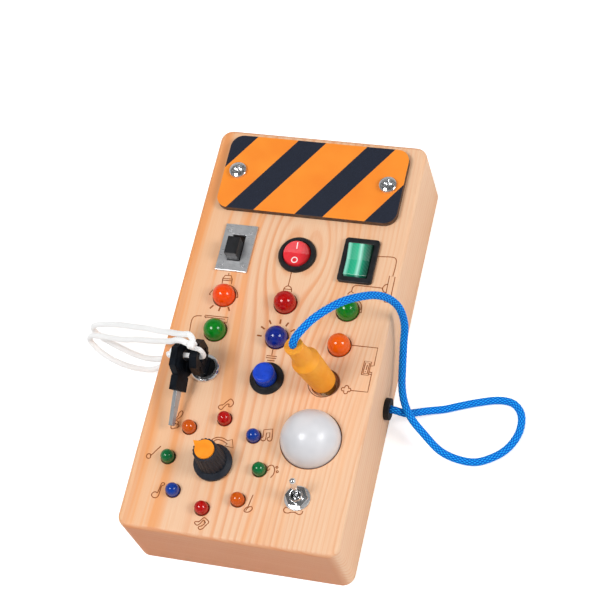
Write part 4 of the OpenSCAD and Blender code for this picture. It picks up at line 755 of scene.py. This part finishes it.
def red_paddle():
    """The round rocker: red polycarbonate, its face clouded red, with painted shade turning it deep towards its
    flank.
    """
    material, tree = new_finish("red_polycarbonate")
    vector, x, y, z = millimetres(tree)
    offset = add(tree, "Math", [x, 1.0], operation="SUBTRACT")
    # painted shade: from 2 to 6.3 mm right of the middle the face darkens to deep red
    flank_painted_shade = add(tree, "MapRange", {"Value": offset, "From Min": 2.0, "From Max": 6.3})
    cloud = add(tree, "TexNoise", {"Vector": vector, "Scale": 0.6, "Detail": 2.0})
    face = add(tree, "ValToRGB", [cloud], stops=[(0.3, "#EE3640"), (0.7, "#E42C36")])
    colour = add(tree, "Mix", {0: flank_painted_shade, 6: face, 7: "#A80E16"}, data_type="RGBA")
    close_finish(tree, colour, 0.35, cloud, 0.004, Specular_IOR_Level=0.15, Coat_Weight=0.6, Coat_Roughness=0.1)
    return material


def printed_board():
    """Glass-epoxy board under green solder mask: copper tracks show as paler lines on a fine weave."""
    material, tree = new_finish("solder_masked_board")
    vector = millimetres(tree)[0]
    track = add(tree, "TexBrick", {"Vector": vector, "Scale": 0.35, "Mortar Size": 0.03,
                                   "Color1": "#12603A", "Color2": "#0F5534", "Mortar": "#3E9A66"})
    weave = add(tree, "TexChecker", {"Vector": vector, "Scale": 1.6})
    close_finish(tree, track, 0.35, weave.outputs["Fac"], 0.01)
    return material


def burnt_line(name, light, dark):
    """Laser engraving: charred wood, darker and lighter by turns where the beam met late and early wood."""
    material, tree = new_finish(name)
    vector = millimetres(tree)[0]
    char = add(tree, "TexNoise", {"Vector": vector, "Scale": 0.9, "Detail": 3.0})
    colour = add(tree, "ValToRGB", [char], stops=[(0.35, dark), (0.65, light)])
    close_finish(tree, colour, 0.8, char, 0.05, Specular_IOR_Level=0.2)
    return material


def white_print():
    """White pad-printed ink, slightly raised and matt."""
    material, tree = new_finish("white_pad_print")
    vector = millimetres(tree)[0]
    ink = add(tree, "TexNoise", {"Vector": vector, "Scale": 4.0, "Detail": 2.0})
    colour = add(tree, "ValToRGB", [ink], stops=[(0.3, "#FFF2F0"), (0.7, "#F6DAD8")])
    close_finish(tree, colour, 0.5, ink, 0.01)
    return material


# ---- light and background ----

def make_light(name, towards, power, size=0.5, away=1.5):
    """A square softbox facing the board; its size and distance are in metres."""
    data = bpy.data.lights.new(name, "AREA")
    data.shape, data.size, data.energy = "SQUARE", size, power
    lamp = bpy.data.objects.new(name, data)
    z = np.array(towards) / np.linalg.norm(towards)
    x = np.cross((0, 1, 0), z)
    x /= np.linalg.norm(x)
    y = np.cross(z, x)
    place = away * z + AIM
    lamp.matrix_world = [[*x, 0], [*y, 0], [*z, 0], [*place, 1]]
    bpy.context.scene.collection.objects.link(lamp)


def level_square(name, half, height, up=True):
    """A flat square of the stage round the origin, facing up or down; its measures are in metres."""
    ring = np.array([(-half, -half), (half, -half), (half, half), (-half, half)])
    if not up:
        ring = ring[[0, 3, 2, 1]]
    return lay_mesh(name, np.column_stack([ring, np.full(4, height)]), [(0, 1, 2, 3)], smooth=False)


def make_studio():
    """Two softboxes where the lamps' highlights show them, an even white room, and a white table that
    keeps the board's shadow."""
    make_light("left_softbox", (-0.326, -0.275, 0.903), 10.3)
    make_light("right_softbox", (0.781, -0.003, 0.629), 8.4)
    # a grey ceiling above the lamps, met by reflections alone, keeps gloss from veiling the colours
    ceiling = level_square("grey_ceiling", 4.0, 1.9, up=False)
    ceiling.visible_camera = ceiling.visible_diffuse = False
    ceiling.visible_shadow = ceiling.visible_transmission = False
    material, tree = new_finish("grey_flag_cloth")
    cloth = add(tree, "TexNoise", {"Vector": millimetres(tree)[0], "Scale": 0.0022, "Detail": 1.0})
    weave = add(tree, "ValToRGB", [cloth], stops=[(0.42, "#202020"), (0.5, "#4A4A4A"), (0.6, "#B4B4B4")])
    add(tree, "OutputMaterial", {"Surface": add(tree, "Emission", {"Color": weave, "Strength": 1.0})})
    ceiling.data.materials.append(material)
    # the room seen by the camera, met by reflections and by diffuse light
    seen_white, glossy_white, diffuse_white = 1.0, 0.45, 0.42
    world = bpy.data.worlds.new("white_room")
    world.use_nodes = True
    tree = world.node_tree
    tree.nodes.clear()
    rays = add(tree, "LightPath")
    glossy = rays.outputs["Is Glossy Ray"]
    seen = add(tree, "Math", [glossy, rays.outputs["Is Transmission Ray"]], operation="MAXIMUM")
    seen = add(tree, "Math", [rays.outputs["Is Camera Ray"], seen], operation="MAXIMUM")
    strength = add(tree, "MapRange", {"Value": seen, "To Min": diffuse_white, "To Max": seen_white})
    strength = add(tree, "Mix", {0: glossy, 2: strength, 3: glossy_white})
    back = add(tree, "Background", {"Color": "#FFFFFF", "Strength": strength})
    add(tree, "OutputWorld", {"Surface": back})
    bpy.context.scene.world = world
    # the table lies just under the board, and the camera sees it a little brighter than it is
    table = level_square("table_top", 1.6, -0.0002)
    material, tree = new_finish("white_sweep")
    rays = add(tree, "LightPath")
    grain = add(tree, "TexNoise", {"Vector": millimetres(tree)[0], "Scale": 0.05})
    shade = add(tree, "ValToRGB", [grain], stops=[(0.3, "#F4F4F4"), (0.7, "#F2F2F2")])
    lift = add(tree, "Math", [rays.outputs["Is Camera Ray"], 0.5], operation="MULTIPLY")
    glow = add(tree, "Emission", {"Color": "#FFFFFF", "Strength": lift})
    paper = add(tree, "BsdfDiffuse", {"Color": shade})
    add(tree, "OutputMaterial", {"Surface": add(tree, "AddShader", [paper, glow])})
    table.data.materials.append(material)


# ---- putting it together ----

def soften(width, *names):
    """Breaks the sharp edges of CAD nodes by width millimetres, as a tumbled or moulded part has them."""
    for name in names:
        weld = nodes[name].modifiers.new("joined", "WELD")
        weld.merge_threshold = 0.00001
        bevel = nodes[name].modifiers.new("broken_edges", "BEVEL")
        bevel.width, bevel.segments = width * MM, 2
        bevel.limit_method, bevel.angle_limit = "ANGLE", math.radians(35)


def coat(material, *pieces):
    """Gives each CAD node or new piece one finish over its whole surface."""
    for piece in pieces:
        mesh = (nodes[piece] if isinstance(piece, str) else piece).data
        mesh.materials.clear()
        mesh.materials.append(material)


make_camera()
patch, patch_tail = make_patch_cord()
knot = make_knot()
strands = (*make_strand("lanyard_braid_a", "lanyard_strand_a", 1, STRAND_A, 85),
           *make_strand("lanyard_braid_b", "lanyard_strand_b", -1, STRAND_B, 167))
# each braid's colours: a painted highlight on the strand crowns, the mid tone, and painted shade in the gaps
coat(woven_cord("blue_polyester_braid", "#22B0FA", "#0080F0", "#0050BE", BLUE_BRAID), patch, patch_tail)
# a faint glow stands for the light that white filaments pass among themselves
coat(woven_cord("white_polyester_braid", "#FFFFFF", "#FCFCFC", "#E2E2E1", WHITE_BRAID,
                Emission_Color="#FFFFFF", Emission_Strength=0.12), knot, *strands, make_bight())

marks = engrave_wood()
rims = scorch_rims()
for piece in (*marks, rims):
    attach(piece, "root")
coat(burnt_line("laser_burnt_wood", "#8A4620", "#A85F2E"), *marks)
coat(burnt_line("scorched_rim", "#5E3520", "#7E4A2C"), rims)
coat(white_print(), print_on_rocker())

coat(oiled_pine(), "case_body")
coat(birch_ply(), "back_panel")
coat(striped_print(), "battery_cover")
black = moulded_plastic("black_moulded_nylon", "#26272A", "#1A1B1D", 0.42)
coat(black, "battery_tray", "slide_lever", "round_rocker_housing", "square_rocker_housing", "push_barrel")
coat(moulded_plastic("natural_nylon", "#E3C6A2", "#D8B892", 0.5), "jack_socket")
coat(moulded_plastic("black_key_plastic", "#141A22", "#0B0F15", 0.42, 1.2, Specular_IOR_Level=0.12),
     "key_head", "spare_head")
coat(moulded_plastic("black_knob_abs", "#2A303A", "#20252E", 0.5, 1.2, Specular_IOR_Level=0.25), "knob_grip")
coat(moulded_plastic("black_rubber", "#1C1C1D", "#121213", 0.6, 2.4, 0.03), "cord_grommets")
coat(moulded_plastic("black_enamel", "#202123", "#151617", 0.22, 0.6, 0.01, Coat_Weight=0.5), "lock_core")
coat(moulded_plastic("dark_phenolic", "#3A2A1E", "#241A13", 0.5), "slide_housing")
coat(moulded_plastic("red_phenolic", "#7A1A18", "#5E1210", 0.45), "toggle_case")
coat(moulded_plastic("blue_cap_abs", "#1C4FE0", "#1243C8", 0.3, 0.8, 0.01), "push_cap")
coat(moulded_plastic("orange_pointer_abs", "#FF9A1E", "#F88C12", 0.34, 0.8, 0.01), "knob_pointer")
coat(moulded_plastic("cell_jacket", "#2E7A52", "#235F40", 0.25, 0.5, 0.01), "battery_cells")
coat(moulded_plastic("lamp_board_white", "#EDEDEA", "#E2E2DE", 0.4), "dome_board")
coat(moulded_plastic("wire_insulation", "#C83226", "#AE261C", 0.4), "wiring")
zinc = bright_metal("zinc_plated_steel", "#DCDDDF", "#CACCCF", 0.3, (0.2, 1.2, 1.2), 0.65)
chrome = bright_metal("polished_chrome", "#ECEDEE", "#DADBDD", 0.1, (0.4, 0.4, 1.2), 0.9)
coat(zinc, "slide_frame", "back_screws", "battery_contacts", "push_nut", "pot_body", "toggle_washer")
coat(chrome, "lock_barrel", "lock_nut", "pot_nut", "toggle_bushing", "toggle_nut", "toggle_bat", "cover_screws")
coat(bright_metal("nickel_plated_brass", "#B4B7BA", "#A6A9AC", 0.3, (0.4, 0.4, 1.2), 0.5), "key_blade", "spare_blade")
coat(bright_metal("spring_steel", "#9C9DA0", "#808286", 0.25, (2, 2, 0.5)), make_spring())
coat(bright_metal("turned_aluminium", "#CFD0D2", "#B5B7B9", 0.3, (0.5, 0.5, 4.0)), "pot_shaft")
coat(bright_metal("tinned_wire", "#C4C5C7", "#A8AAAD", 0.3, (2, 2, 0.5)), "lamp_legs")
coat(bright_metal("turned_brass", "#D9B25C", "#C09A45", 0.22, (0.5, 0.5, 4.0)), "plug_pin")
coat(tinted_lens("orange_epoxy", "#FF4E00", "#F04400", "#F06000"), "lamps_orange")
coat(tinted_lens("amber_epoxy", "#DA5C00", "#C65000"), "ring_lamps_orange")
coat(tinted_lens("green_epoxy", "#00821A", "#007414"), "lamps_green")
coat(tinted_lens("sea_green_epoxy", "#00723A", "#006030"), "ring_lamps_green")
coat(tinted_lens("red_epoxy", "#C00400", "#A80000"), "lamp_red", "ring_lamps_red")
coat(tinted_lens("blue_epoxy", "#0C2690", "#081E7A"), "lamp_blue")
coat(tinted_lens("clear_blue_epoxy", "#063CA0", "#043088"), "ring_lamps_blue")
coat(opal_dome(), "dome_cap")
coat(ribbed_lens(), "square_rocker_button")
coat(red_paddle(), "round_rocker_button")
coat(moulded_rubber(), "plug_body")
coat(printed_board(), "control_board")
BROAD_EDGE, FINE_EDGE = 0.22, 0.15
soften(BROAD_EDGE, "slide_frame", "slide_lever", "lock_barrel", "toggle_nut", "toggle_washer", "push_barrel",
       "square_rocker_housing", "square_rocker_button", "round_rocker_housing", "round_rocker_button")
soften(FINE_EDGE, "key_head", "spare_head", "key_blade", "spare_blade", "push_cap", "knob_pointer", "toggle_bushing",
       "toggle_bat", "cover_screws", "back_screws", "cord_grommets", "plug_body", "battery_cover")
make_studio()

scene = bpy.context.scene
scene.view_settings.view_transform = "Standard"
